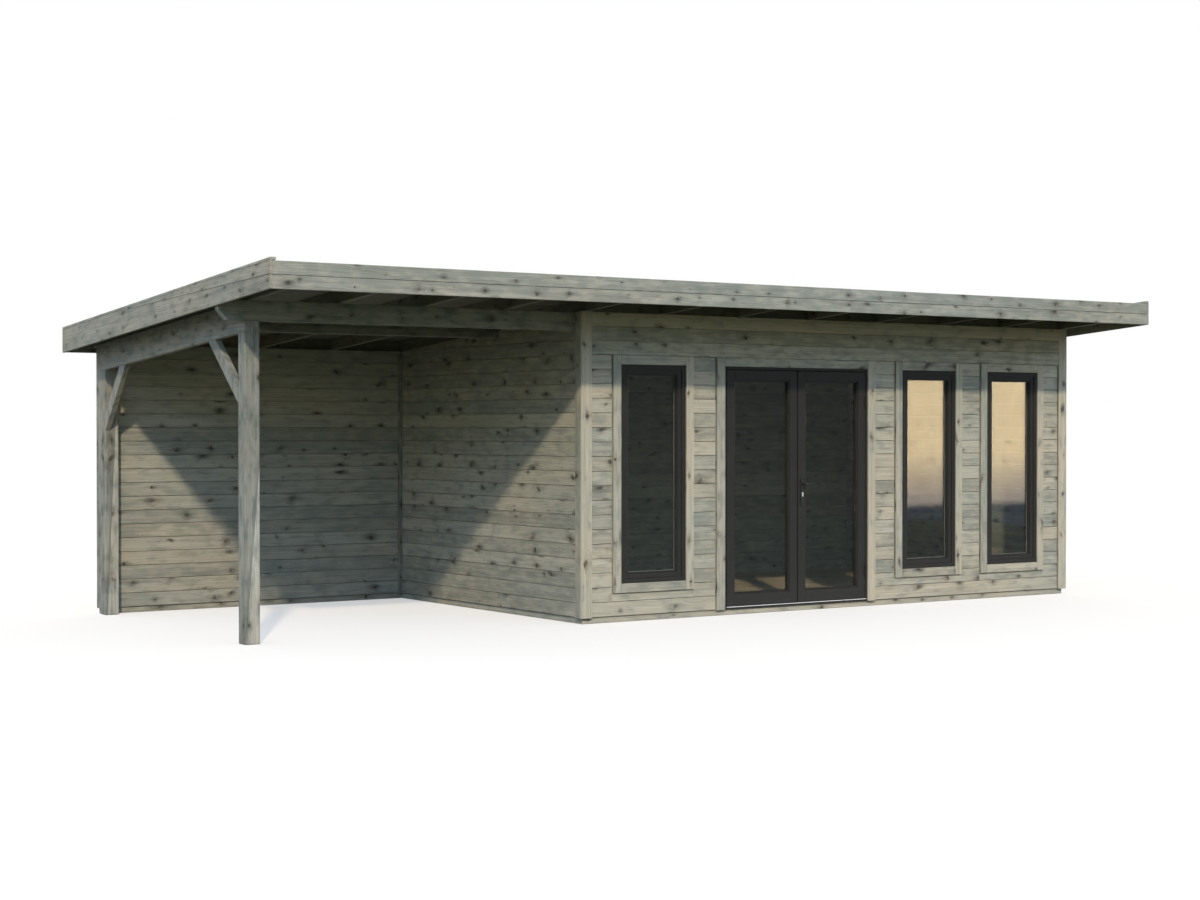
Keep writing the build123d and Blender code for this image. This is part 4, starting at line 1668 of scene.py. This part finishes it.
@dataclass
class Joinery:
    """Painted frames of the windows and of the double door.

    Attributes:
        frame_face: face width of a window's outer frame.
        sash_face, sash_depth: face width and thickness of its sash.
        sash_setback: how far the sash stands behind the frame's face.
        bead: width of the beads that hold the panes.
        bead_splay: chamfer of a bead.
        stile, top_rail, bottom_rail: face widths of a door leaf.
        jamb: face width of the door frame.
        stop: how far its stop stands in.
        sill_rise: height of the door frame's bottom piece.
        leaf_clear: gap between a leaf and the stop.
        arris, joint: chamfer of the edges, and open joint between two pieces.
        seal_proud, seal_depth, seal_arris: section of the rubber seal between the leaves.
    """

    paint: Material
    glass: Material
    spacer: Material
    seal: Material
    frame_face: float = 0.036
    sash_face: float = 0.040
    sash_depth: float = 0.056
    sash_setback: float = 0.008
    bead: float = 0.009
    bead_splay: float = 0.006
    stile: float = 0.081
    top_rail: float = 0.081
    bottom_rail: float = 0.096
    jamb: float = 0.020
    stop: float = 0.014
    sill_rise: float = 0.017
    leaf_clear: float = 0.006
    arris: float = 0.002
    joint: float = 0.0006
    seal_proud: float = 0.0035
    seal_depth: float = 0.016
    seal_arris: float = seal_proud / 3

    def ring(
        self, x: Limits, y: Limits, z: Limits, side: float, bottom: float, top: float, arris: float
    ) -> list[Stick]:
        """Four pieces round an opening, the uprights running through.

        Args:
            x, y, z: outer limits.
            side, bottom, top: face widths; a width of zero leaves that piece out.
            arris: chamfer of the edges.

        Returns:
            The pieces.
        """
        sticks = [Stick.along_z(edge, y, z, arris) for edge in ((x[0], x[0] + side), (x[1] - side, x[1]))]
        inner = (x[0] + side + self.joint / 2, x[1] - side - self.joint / 2)
        if bottom:
            sticks.append(Stick.along_x(inner, y, (z[0], z[0] + bottom), arris))
        if top:
            sticks.append(Stick.along_x(inner, y, (z[1] - top, z[1]), arris))
        return sticks

    def beads(self, pane: Extent, face: float, inside: float) -> list[Stick]:
        """Splayed beads in front of and behind a pane.

        Args:
            pane: box of the pane.
            face, inside: front and back of the piece that holds it.

        Returns:
            The beads.
        """
        x = (pane.left - self.bead, pane.right + self.bead)
        z = (pane.bottom - self.bead, pane.top + self.bead)
        edge = self.sash_setback
        outer = (face + edge, pane.front)
        inner = (pane.back, max(pane.back + edge, inside - edge))
        return [
            stick
            for y in (outer, inner)
            for stick in self.ring(x, y, z, self.bead, self.bead, self.bead, self.bead_splay / 2)
        ]

    def build_window(self, name: str) -> None:
        """Build a fixed window with its pane.

        Args:
            name: which window.
        """
        node = f"{name}_window_frame"
        box = Extent.of(node)
        face, sash = self.frame_face, self.sash_face
        sash_front = box.front + self.sash_setback
        sash_y = (sash_front, sash_front + self.sash_depth)
        inner_x = (box.left + face, box.right - face)
        inner_z = (box.bottom + face, box.top - face)
        sticks = self.ring(box.x, box.y, box.z, face, face, face, self.arris)
        sticks += self.ring(inner_x, sash_y, inner_z, sash, sash, sash, self.arris)
        sticks += self.beads(Extent.of(f"{name}_window_pane"), *sash_y)
        place_sawn(f"{name}_window_joinery", 41, sticks, self.paint, node, slot=Slot.JOINERY)
        Glazing().build(f"{name}_window", f"{name}_window_pane", Body.BUILDING, self.glass, self.spacer)

    def build_leaf(self, name: str, body: Body) -> None:
        """Build a door leaf with its pane.

        Args:
            name: which leaf.
            body: body that it moves with.
        """
        node = f"{name}_door_leaf"
        box = Extent.of(node)
        rails = (self.bottom_rail, self.top_rail)
        sticks = self.ring(box.x, box.y, box.z, self.stile, *rails, self.arris)
        sticks += self.beads(Extent.of(f"{name}_door_pane"), *box.y)
        place_sawn(f"{name}_leaf_joinery", 42, sticks, self.paint, node, slot=Slot.JOINERY, body=body)
        # The leaves' spacers take the black seal rubber, a dark part that paints the shade in the reveals
        # beside the door panes.
        Glazing().build(f"{name}_leaf", f"{name}_door_pane", body, self.glass, self.seal)

    def build_seal(self) -> None:
        """Build the rubber seal on the right leaf's meeting edge."""
        leaf = Extent.of("right_door_leaf")
        middle = (leaf.front + leaf.back) / 2
        x = (leaf.left - self.seal_proud, leaf.left)
        y = (middle - self.seal_depth / 2, middle + self.seal_depth / 2)
        stick = Stick.along_z(x, y, leaf.z, self.seal_arris)
        place_sawn("meeting_seal", 43, [stick], self.seal, slot=Slot.JOINERY, body=Body.RIGHT_LEAF)

    def build_door_frame(self) -> None:
        """Build the frame round the two leaves, with its stop."""
        box = Extent.of("door_frame")
        stop_x = (box.left + self.jamb, box.right - self.jamb)
        stop_y = (Extent.of("left_door_leaf").back + self.leaf_clear, box.back)
        stop_z = (box.bottom + self.sill_rise, box.top - self.jamb)
        sticks = self.ring(box.x, box.y, box.z, self.jamb, self.sill_rise, self.jamb, self.arris)
        sticks += self.ring(stop_x, stop_y, stop_z, self.stop, 0.0, self.stop, self.arris)
        place_sawn("door_frame_joinery", 44, sticks, self.paint, "door_frame", slot=Slot.JOINERY)

    def build(self) -> None:
        """Build all frames, leaves and panes."""
        for name in ("left", "middle", "right"):
            self.build_window(name)
        self.build_door_frame()
        self.build_leaf("left", Body.LEFT_LEAF)
        self.build_leaf("right", Body.RIGHT_LEAF)
        self.build_seal()


@dataclass
class Fittings:
    """Metal fittings: hinges, handles, lock and threshold.

    Attributes:
        ease: width of the eased edges.
    """

    ease: float = 0.0012

    def build(self) -> None:
        """Dress copies of the fittings' nodes with eased edges."""
        dark, bright, mill = DARK_METAL.material(), BRIGHT_METAL.material(), MILL_METAL.material()
        for name, node, finish, slot, body in (
            ("left_leaf_hinges", "left_door_hinges", dark, Slot.HINGE, Body.LEFT_LEAF),
            ("right_leaf_hinges", "right_door_hinges", dark, Slot.HINGE, Body.RIGHT_LEAF),
            ("jamb_hinges", "frame_hinges", dark, Slot.HINGE, Body.BUILDING),
            ("lever_handles", "door_handles", dark, Slot.HANDLE, Body.RIGHT_LEAF),
            ("lock_barrel", "lock_cylinder", bright, Slot.LOCK, Body.RIGHT_LEAF),
            ("threshold_strip", "door_threshold", mill, Slot.THRESHOLD, Body.BUILDING),
        ):
            eased_copy(name, node, finish, body, self.ease)


@dataclass
class Base:
    """Sills on the ground, joists and floor boards.

    Attributes:
        arris: chamfer of the sills' edges.
        floor_board: cover width of a floor board.
        joint: open joint between two floor boards.
        joist_width, joist_bays: joists between the side sills.
    """

    timber: Material
    floor: Material
    arris: float = 0.003
    floor_board: float = 0.113
    joint: float = 0.0015
    joist_width: float = 0.045
    joist_bays: int = 9

    def build(self) -> None:
        """Build the base."""
        long = Extent.of("long_sills")
        side = Extent.of("side_sills")
        floor = Extent.of("floor_boards")
        terrace = Extent.of("terrace_end_trim")
        depth = side.front - long.front
        sticks = [
            Stick.along_x((side.left, long.right), (long.front, side.front), long.z, self.arris),
            Stick.along_x((terrace.right, long.right), (long.back - depth, long.back), long.z, self.arris),
        ]
        place_sawn("long_sill_beams", 51, sticks, self.timber, "long_sills")

        ends = ((side.left, floor.left), (floor.right, side.right))
        sticks = [Stick.along_y(x, side.y, long.z, self.arris) for x in ends]
        place_sawn("side_sill_beams", 52, sticks, self.timber, "side_sills")

        half = self.joist_width / 2
        centres = np.linspace(floor.left, floor.right, self.joist_bays + 1)[1:-1]
        sticks = [
            Stick.along_y((centre - half, centre + half), side.y, long.z, self.arris) for centre in centres
        ]
        place_sawn("joists", 53, sticks, self.timber, "floor_joists")

        count = round((floor.back - floor.front) / self.floor_board)
        rows = even_rows(*floor.y, count, self.joint)
        sticks = [Stick.along_x(floor.x, y, floor.z, self.joint) for y in rows]
        place_sawn("floor_board_rows", 54, sticks, self.floor, "floor_boards", slot=Slot.FLOOR)


@dataclass
class TerraceFrame:
    """Posts, beams and braces of the terrace, as eased copies that keep their laps.

    Attributes:
        finish: their timber, a darker and greyer copy that paints the shade under the terrace roof.
        ease: width of the eased edges.
        seam_height: height up to which the shares below count.
        front_seam_shares, back_seam_shares: where a post's glue line crosses its front, at the ground and
            up there.
    """

    finish: TimberFinish
    ease: float = 0.004
    seam_height: float = 1.34
    front_seam_shares: Pair = (0.05, 1.0)
    back_seam_shares: Pair = (0.15, 0.67)

    def seam(self, node: str, shares: Pair) -> Seam:
        """Glue line across a post's front.

        Args:
            node: frame node of the post.
            shares: parts of its width at the ground and at seam_height.

        Returns:
            The line.
        """
        post = Extent.of(node)
        width = post.right - post.left
        return Seam(post.left + shares[0] * width, (shares[1] - shares[0]) * width / self.seam_height)

    def build(self) -> None:
        """Dress the frame, each piece with its grain along its length."""
        for name, node, grain, shares in (
            ("terrace_front_post", "front_post", Grain.ALONG_Z, self.front_seam_shares),
            ("terrace_back_post", "back_post", Grain.ALONG_Z, self.back_seam_shares),
            ("terrace_front_beam", "front_beam", Grain.ALONG_X, None),
            ("terrace_side_beam", "side_beam", Grain.ALONG_Y, None),
            ("terrace_mid_purlin", "mid_purlin", Grain.ALONG_X, None),
            ("terrace_knee_braces", "knee_braces", Grain.ALONG_Z, None),
        ):
            material = self.finish.material(grain, None if shares is None else self.seam(node, shares))
            eased_copy(name, node, material, Body.BUILDING, self.ease)


@dataclass
class PentRoof:
    """Rafters, blocking, deck boards, fascias, edge strips and felt.

    Attributes:
        rafter_width, rafter_height: section of a rafter.
        terrace_bays, cabin_bays: spaces between rafters.
        deck, felt: thicknesses of the deck boards and of the felt.
        deck_board: cover width of a deck board.
        fascia_board: height of a fascia board.
        fascia_drop: how far the fascias hang under the rafters.
        joint_share: part of the roof's depth along which the side wedge runs out.
        wedge_tip: height that the wedge ends with.
        strip, strip_height: section of an edge strip.
        blocking: thickness of the blocking between rafters.
        arris, joint: chamfer of the edges, and open joint between two boards.
        felt_sheets: sheets of felt from the back up to the front.
        felt_lap: how far a sheet laps over the lower one.
        felt_grid: points of a sheet, along the roof and down the slope.
        felt_seed: seed of the first sheet's waves.
        ripple: height of the felt's long waves.
        first_wave, second_wave: radians of the two waves per metre, along the roof and down the slope.
        second_share: height of the second wave beside the first.
        lap_curve: power that bends a sheet up over the lower one.
        lap_share: part of that rise that its underside follows.
        grey_tone: tone of the upper front fascia board.
    """

    slope: Slope
    timber: Material
    side_timber: Material
    framing: Material
    decking: Material
    felting: Material
    rafter_width: float = 0.045
    rafter_height: float = 0.095
    terrace_bays: int = 4
    cabin_bays: int = 7
    deck: float = 0.018
    felt: float = 0.004
    deck_board: float = 0.100
    fascia_board: float = 0.095
    fascia_drop: float = 0.045
    joint_share: float = 0.72
    wedge_tip: float = 0.004
    strip: float = 0.045
    strip_height: float = 0.020
    blocking: float = 0.020
    arris: float = 0.003
    joint: float = 0.002
    felt_sheets: int = 5
    felt_lap: float = 0.08
    felt_grid: tuple[int, int] = (90, 13)
    felt_seed: int = 80
    ripple: float = 0.0011
    first_wave: Pair = (2.1, 5.0)
    second_wave: Pair = (5.7, 3.0)
    second_share: float = 0.6
    lap_curve: int = 3
    lap_share: float = 0.9
    grey_tone: float = 0.01

    def __post_init__(self) -> None:
        """Read the roof's limits from the frame."""
        self.deck_box = Extent.of("roof_deck")
        self.rafter_rise = self.rafter_height / cos(atan2(self.slope.fall, 1))
        self.deck_rise = self.rafter_rise + self.deck

    def rafter_centres(self) -> tuple[list[float], list[float]]:
        """Middles of the rafters, evenly spaced from wall to wall.

        Returns:
            Those over the terrace, and those over the room and its walls.
        """
        box = Extent.of("rafters")
        room = Extent.of("left_wall")
        cladding = Extent.of("long_sills").front - Extent.of("front_wall_left").front
        first = box.left + self.rafter_width / 2
        wall = (room.left + cladding + room.right) / 2
        last = box.right - self.rafter_width / 2
        terrace = np.linspace(first, wall, self.terrace_bays + 1)[:-1]
        cabin = np.linspace(wall, last, self.cabin_bays + 1)
        return terrace.tolist(), cabin.tolist()

    def build_frame(self) -> None:
        """Build the rafters and the blocking between them."""
        terrace, cabin = self.rafter_centres()
        half = self.rafter_width / 2
        rise = (0.0, self.rafter_rise)
        sticks = [
            Stick.down_slope((centre - half, centre + half), self.deck_box.y, rise, self.slope, self.arris)
            for centre in terrace + cabin
        ]
        # The rafters take the dark roof copy of the timber: painted shade under the roof.
        place_sawn("rafter_set", 61, sticks, self.framing, "rafters")

        blocks = Extent.of("eaves_blocking")
        sticks = []
        for centres, front in ((cabin, blocks.front), (terrace + cabin, blocks.back - self.blocking)):
            y = (front, front + self.blocking)
            sticks += [
                Stick.across_slope((left + half, right - half), y, rise, self.slope, self.arris)
                for left, right in zip(centres, centres[1:])
            ]
        # The blocking takes the dark roof copy of the timber: painted shade under the eaves.
        place_sawn("eaves_blocks", 62, sticks, self.framing, "eaves_blocking")

    def build_deck(self) -> None:
        """Build the deck of boards along the roof."""
        box = self.deck_box
        rows = even_rows(*box.y, round((box.back - box.front) / self.deck_board), self.joint)
        rise = (self.rafter_rise, self.deck_rise)
        sticks = [Stick.across_slope(box.x, y, rise, self.slope, self.arris) for y in rows]
        # The deck boards take the darkest copy of the timber: painted shade under the roof.
        place_sawn("deck_boards", 63, sticks, self.decking, "roof_deck")

    def build_fascias(self) -> None:
        """Build the front, back and side fascias with their wedge joints, and the edge strips."""
        half = self.joint / 2
        for name, seed, tone in (
            ("front_fascia_lower", 64, None),
            ("front_fascia_upper", 65, self.grey_tone),
            ("back_fascia", 66, None),
        ):
            box = Extent.of(name)
            stick = Stick.along_x(box.x, box.y, (box.bottom + half, box.top - half), self.arris)
            place_sawn(f"{name}_board", seed, [replace(stick, tone=tone)], self.timber, name)
        for side, seed in (("left", 67), ("right", 69)):
            boards = self.side_fascia(Extent.of(f"{side}_fascia_lower"))
            for step, (part, stick) in enumerate(zip(("lower", "upper"), boards)):
                node = f"{side}_fascia_{part}"
                # The side fascias take the darker copy of the timber: painted shade on their sideways faces.
                place_sawn(f"{node}_board", seed + step, [stick], self.side_timber, node)
        strips = Extent.of("edge_strips")
        rise = (self.fascia_top, self.fascia_top + self.strip_height)
        sticks = [
            Stick.down_slope(x, strips.y, rise, self.slope, self.arris)
            for x in ((strips.left, strips.left + self.strip), (strips.right - self.strip, strips.right))
        ]
        place_sawn("edge_strip_laths", 71, sticks, self.timber, "edge_strips")

    @property
    def fascia_top(self) -> float:
        """Height of the side fascias' upper edge over the rafters' underside."""
        return 2 * self.fascia_board - self.fascia_drop

    def side_fascia(self, box: Extent) -> tuple[Stick, Stick]:
        """Lower board and upper wedge of one side fascia.

        The joint runs straight from one board's height at the front to the top edge at the joint's end.

        Args:
            box: the lower board's box.

        Returns:
            The board and the wedge.
        """
        depth = box.back - box.front
        joint_run = depth * self.joint_share
        half = self.joint / 2
        top = self.fascia_top
        seam = self.fascia_board - self.fascia_drop
        board = Stick.down_slope(box.x, box.y, (-self.fascia_drop, top), self.slope, self.arris)
        lower = replace(
            board,
            stations=(0.0, joint_run, depth),
            lows=(-self.fascia_drop,) * 3,
            highs=(seam - half, top, top),
        )
        upper = replace(
            board,
            stations=(0.0, joint_run * (1 - self.wedge_tip / self.fascia_board)),
            lows=(seam + half, top - self.wedge_tip),
        )
        return lower, upper

    def felt_sheet(self, front: float, back: float, lap: float, seed: int) -> Surface:
        """One sheet of felt as a closed skin over a grid.

        The top is z = deck + thickness + lap w^n + ripple (wave 1 + share wave 2) sin(pi w), where w runs
        from 0 at the upper edge to 1 at the lower one and n bends the lap. The underside follows the deck.

        Args:
            front, back: upper and lower edge in plan.
            lap: rise of the lower edge over the sheet that it covers.
            seed: seed of the waves' phases.

        Returns:
            The sheet.
        """
        columns, lines = self.felt_grid
        draws = np.random.default_rng(seed)
        phases = draws.uniform(0, 2 * pi, 3)
        places = np.linspace(*self.deck_box.x, columns), np.linspace(front, back, lines)
        x, y = np.meshgrid(*places, indexing="ij")
        low = (y - front) / (back - front)
        first = np.sin(self.first_wave[0] * x + phases[0]) * np.sin(self.first_wave[1] * y + phases[1])
        second = np.sin(self.second_wave[0] * x + self.second_wave[1] * y + phases[2])
        wave = first + self.second_share * second
        deck = self.slope.under(y) + self.deck_rise
        rise = lap * low**self.lap_curve
        top = deck + self.felt + rise + self.ripple * wave * np.sin(pi * low)
        upper = np.stack([x, y, top], axis=-1)
        under = np.stack([x, y, deck + rise * self.lap_share], axis=-1)
        number = np.arange(columns * lines).reshape(columns, lines)
        cells = np.stack([number[:-1, :-1], number[1:, :-1], number[1:, 1:], number[:-1, 1:]], axis=-1)
        cells = cells.reshape(-1, 4)
        rim = np.concatenate([number[:, 0], number[-1, 1:], number[-2::-1, -1], number[0, -2:0:-1]])
        following = np.roll(rim, -1)
        below = columns * lines
        skirt = np.stack([rim, rim + below, following + below, following], axis=-1)
        faces = np.concatenate([cells, cells[:, ::-1] + below, skirt])
        points = np.concatenate([upper.reshape(-1, 3), under.reshape(-1, 3)])
        tones = np.full(len(faces), draws.uniform())
        return Surface(points, faces.tolist(), points[faces.ravel(), :2], tones)

    def build_felt(self) -> None:
        """Lay the sheets of felt from the back edge up to the front."""
        edges = np.linspace(*self.deck_box.y, self.felt_sheets + 1)
        sheets = []
        for index, (front, back) in enumerate(zip(edges, edges[1:])):
            laps = index < self.felt_sheets - 1
            reach, rise = (self.felt_lap, self.felt) if laps else (0.0, 0.0)
            sheets.append(self.felt_sheet(front, back + reach, rise, self.felt_seed + index))
        surface = Surface.joined(sheets)
        place_piece("felt_sheets", surface, self.felting, Body.BUILDING, ["roof_felt"])

    def build(self) -> None:
        """Build the roof."""
        self.build_frame()
        self.build_deck()
        self.build_fascias()
        self.build_felt()


@dataclass
class Studio:
    """Pale floor, white background, one soft key light and the camera of the photograph.

    Attributes:
        camera_place: the camera's place.
        heading, pitch: its turn from +Y towards +X, and its tilt, in degrees.
        focal_pixels: its focal length in pixels of the picture.
        picture_width, sensor: width of the picture in pixels, and of the sensor in millimetres.
        light_travel: direction that the key light travels.
        key_strength, key_softness, key_colour: the key light's strength, angle in degrees and colour.
        fill_low, fill_middle, fill_high: light from all round, near the ground, over it and from above.
        fill_back: the middle one's neutral colour behind the object.
        low_edge, high_edge: heights of the sky, as sines, over which these follow each other.
        back_edge: stretch along the camera's heading over which the neutral colour starts.
        floor_half: half the floor's width.
        floor_colour, bounce_colour: the floor's colour, and the colour of the light that it throws up.
        floor_glow: least share of white in the floor.
        fade_start, fade_end: distances over which the floor passes into the background.
        floor_drop: how far the floor lies under the ground.
        card_front, card_lift, card_y, card_half, card_top: place and reach of the card that glass mirrors.
        sky_from, sky_to: stretch along the card over which the hedge gives way to the sky.
        hedge, ground, haze, sky: colours of the card in a sharp reflection.
        plain: its colour in a dull reflection.
        ground_top, haze_top, sky_bottom: heights at which the card's colours follow each other.
    """

    camera_place: Point = (-9.9644, -14.3624, 1.5347)
    heading: float = 33.972
    pitch: float = -0.649
    focal_pixels: float = 2033.9
    picture_width: float = 1200.0
    sensor: float = 36.0
    light_travel: Point = (0.77, 1.345, -1.0)
    key_strength: float = 2.75
    key_softness: float = 2.3
    key_colour: Colour = (0.93, 0.8, 0.61)
    fill_low: Colour = (0.95, 1.04, 0.88)
    fill_middle: Colour = (1.1, 1.42, 1.9)
    fill_high: Colour = (0.4, 0.45, 0.5)
    fill_back: Colour = (1.3, 1.34, 1.3)
    low_edge: Pair = (0.06, 0.3)
    high_edge: Pair = (0.55, 0.9)
    back_edge: Pair = (-0.1, 0.5)
    floor_half: float = 60.0
    floor_colour: Colour = (0.95, 0.9, 0.85)
    bounce_colour: Colour = (0.085, 0.09, 0.05)
    floor_glow: float = 0.5
    fade_start: float = 7.0
    fade_end: float = 14.0
    floor_drop: float = 0.001
    card_front: float = -2.3
    card_lift: float = 0.004
    card_y: float = -14.0
    card_half: float = 45.0
    card_top: float = 16.0
    sky_from: float = 12.6
    sky_to: float = 13.6
    plain: Colour = (0.35, 0.36, 0.36)
    hedge: Colour = (0.142, 0.16, 0.168)
    ground: Colour = (0.235, 0.275, 0.37)
    haze: Colour = (2.15, 1.75, 1.62)
    sky: Colour = (5.9, 4.4, 2.75)
    ground_top: float = 0.1
    haze_top: float = 0.26
    sky_bottom: float = 1.35

    def build_camera(self) -> None:
        """Set the camera where the photograph was taken from."""
        camera = bpy.data.cameras.new("camera")
        camera.sensor_fit = "HORIZONTAL"
        camera.sensor_width = self.sensor
        camera.lens = self.focal_pixels * self.sensor / self.picture_width
        camera.clip_end = 4 * self.floor_half
        holder = bpy.data.objects.new("camera", camera)
        holder.location = self.camera_place
        holder.rotation_euler = (radians(90 + self.pitch), 0, radians(-self.heading))
        bpy.context.scene.collection.objects.link(holder)
        bpy.context.scene.camera = holder

    def build_key(self) -> None:
        """Hang the key light in the photograph's direction."""
        lamp = bpy.data.lights.new("key", "SUN")
        lamp.energy = self.key_strength
        lamp.angle = radians(self.key_softness)
        lamp.color = self.key_colour
        holder = bpy.data.objects.new("key", lamp)
        x, y, z = self.light_travel
        holder.rotation_euler = (atan2(hypot(x, y), -z), 0, atan2(-x, y))
        bpy.context.scene.collection.objects.link(holder)

    def seen_directly(self, wiring: Wiring) -> Socket:
        """Mask of what the camera sees directly, in a mirror or through glass.

        Args:
            wiring: wiring of a world or a material.

        Returns:
            1 for such rays, 0 for others.
        """
        rays = wiring.add("ShaderNodeLightPath").outputs
        mirror = wiring.math("MAXIMUM", rays["Is Glossy Ray"], rays["Is Transmission Ray"])
        return wiring.math("MAXIMUM", rays["Is Camera Ray"], mirror)

    def build_world(self) -> None:
        """Give the world a soft light in three bands of height, and a white look."""
        world = bpy.data.worlds.new("studio")
        world.use_nodes = True
        bpy.context.scene.world = world
        wiring = Wiring(world.node_tree)
        background = world.node_tree.nodes["Background"]
        seen = self.seen_directly(wiring)
        place = wiring.place()
        height = wiring.parts(place)["Z"]
        turn = radians(self.heading)
        behind = wiring.vector("DOT_PRODUCT", place, (sin(turn), cos(turn), 0.0))
        middle = wiring.mix(wiring.ease(behind, *self.back_edge), self.fill_middle, self.fill_back)
        light = wiring.mix(wiring.ease(height, *self.low_edge), self.fill_low, middle)
        light = wiring.mix(wiring.ease(height, *self.high_edge), light, self.fill_high)
        wiring.feed(background.inputs["Color"], wiring.mix(seen, light, (1.0, 1.0, 1.0)))

    def mixed_material(self, name: str) -> tuple[Material, Wiring, Node]:
        """Start a material that mixes two shaders.

        Args:
            name: name of the material.

        Returns:
            The material, its wiring and the mix node.
        """
        material = bpy.data.materials.new(name)
        material.use_nodes = True
        nodes = material.node_tree.nodes
        nodes.remove(nodes["Principled BSDF"])
        wiring = Wiring(material.node_tree)
        mixed = wiring.add("ShaderNodeMixShader")
        wiring.feed(nodes["Material Output"].inputs["Surface"], mixed.outputs[0])
        return material, wiring, mixed

    def sheet(
        self, name: str, points: Sequence[Point], faces: list[list[int]], material: Material
    ) -> bpy.types.Object:
        """Put a sheet that isn't part of the building into the scene.

        Args:
            name: name of the sheet.
            points, faces: its mesh.
            material: its material.

        Returns:
            The new object.
        """
        mesh = bpy.data.meshes.new(name)
        mesh.from_pydata(points, [], faces)
        mesh.materials.append(material)
        sheet = bpy.data.objects.new(name, mesh)
        bpy.context.scene.collection.objects.link(sheet)
        return sheet

    def build_floor(self) -> None:
        """Lay a pale floor that keeps the shadow and passes into the white background far away."""
        material, wiring, mixed = self.mixed_material("pale floor")
        seen = self.seen_directly(wiring)
        distance = wiring.vector("LENGTH", wiring.place())
        far = wiring.ease(distance, self.fade_start, self.fade_end, self.floor_glow, 1.0)
        matte = wiring.add("ShaderNodeBsdfDiffuse")
        wiring.feed(matte.inputs["Color"], wiring.mix(seen, self.bounce_colour, self.floor_colour))
        glow = wiring.add("ShaderNodeEmission")
        wiring.feed(mixed.inputs["Fac"], wiring.times(far, seen))
        wiring.feed(mixed.inputs[1], matte.outputs[0])
        wiring.feed(mixed.inputs[2], glow.outputs[0])
        half = self.floor_half
        corners = ((-half, -half), (half, -half), (half, half), (-half, half))
        points = [(x, y, -self.floor_drop) for x, y in corners]
        floor = self.sheet("floor", points, [[0, 1, 2, 3]], material)

    def build_card(self) -> None:
        """Stand a bent card before the front that only reflections see: ground, hedge and evening sky."""
        material, wiring, mixed = self.mixed_material("reflection card")
        x, _, height = wiring.parts(wiring.place())
        sky = wiring.mix(wiring.ease(height, self.ground_top, self.sky_bottom), self.haze, self.sky)
        sky = wiring.mix(wiring.ease(height, self.ground_top, self.haze_top), self.ground, sky)
        colour = wiring.mix(wiring.ease(x, self.sky_from, self.sky_to), self.hedge, sky)
        rays = wiring.add("ShaderNodeLightPath").outputs
        glow = wiring.add("ShaderNodeEmission")
        wiring.feed(glow.inputs["Color"], wiring.mix(rays["Is Singular Ray"], self.plain, colour))
        wiring.feed(mixed.inputs["Fac"], wiring.math("MINIMUM", rays["Glossy Depth"], 1.0))
        wiring.feed(mixed.inputs[1], wiring.add("ShaderNodeBsdfTransparent").outputs[0])
        wiring.feed(mixed.inputs[2], glow.outputs[0])
        foot = (self.card_y, self.card_lift)
        profile = ((self.card_front, self.card_lift), foot, (self.card_y, self.card_top))
        points = [(x, y, z) for y, z in profile for x in (-self.card_half, self.card_half)]
        card = self.sheet("reflection_card", points, [[0, 1, 3, 2], [2, 3, 5, 4]], material)
        card.visible_camera = card.visible_diffuse = card.visible_shadow = False

    def build(self) -> None:
        """Build the studio."""
        bpy.context.scene.view_settings.view_transform = "Standard"
        self.build_camera()
        self.build_key()
        self.build_world()
        self.build_floor()
        self.build_card()


def main() -> None:
    """Build the studio and every sub-assembly."""
    logging.basicConfig(level=logging.INFO, format="%(name)s %(message)s")
    Studio().build()
    timber = FRONT_TIMBER.material()
    slope = Slope.from_frame(PentRoof.felt)
    walls = Walls(slope, timber, SHADED_TERRACE_TIMBER.material())
    walls.build()
    Trims(slope, timber, SHADED_POST_TIMBER.material()).build(walls)
    glass, spacer = CLEAR_GLASS.material(), SPACER_METAL.material()
    Joinery(DARK_PAINT.material(), glass, spacer, SEAL_RUBBER.material()).build()
    Fittings().build()
    Base(timber, FLOOR_TIMBER.material()).build()
    TerraceFrame(SHADED_POST_TIMBER).build()
    PentRoof(
        slope,
        FASCIA_TIMBER.material(),
        SHADED_SIDE_FASCIA_TIMBER.material(),
        SHADED_ROOF_TIMBER.material(),
        SHADED_DECK_TIMBER.material(),
        MINERAL_FELT.material(),
    ).build()


if __name__ == "__main__":
    main()
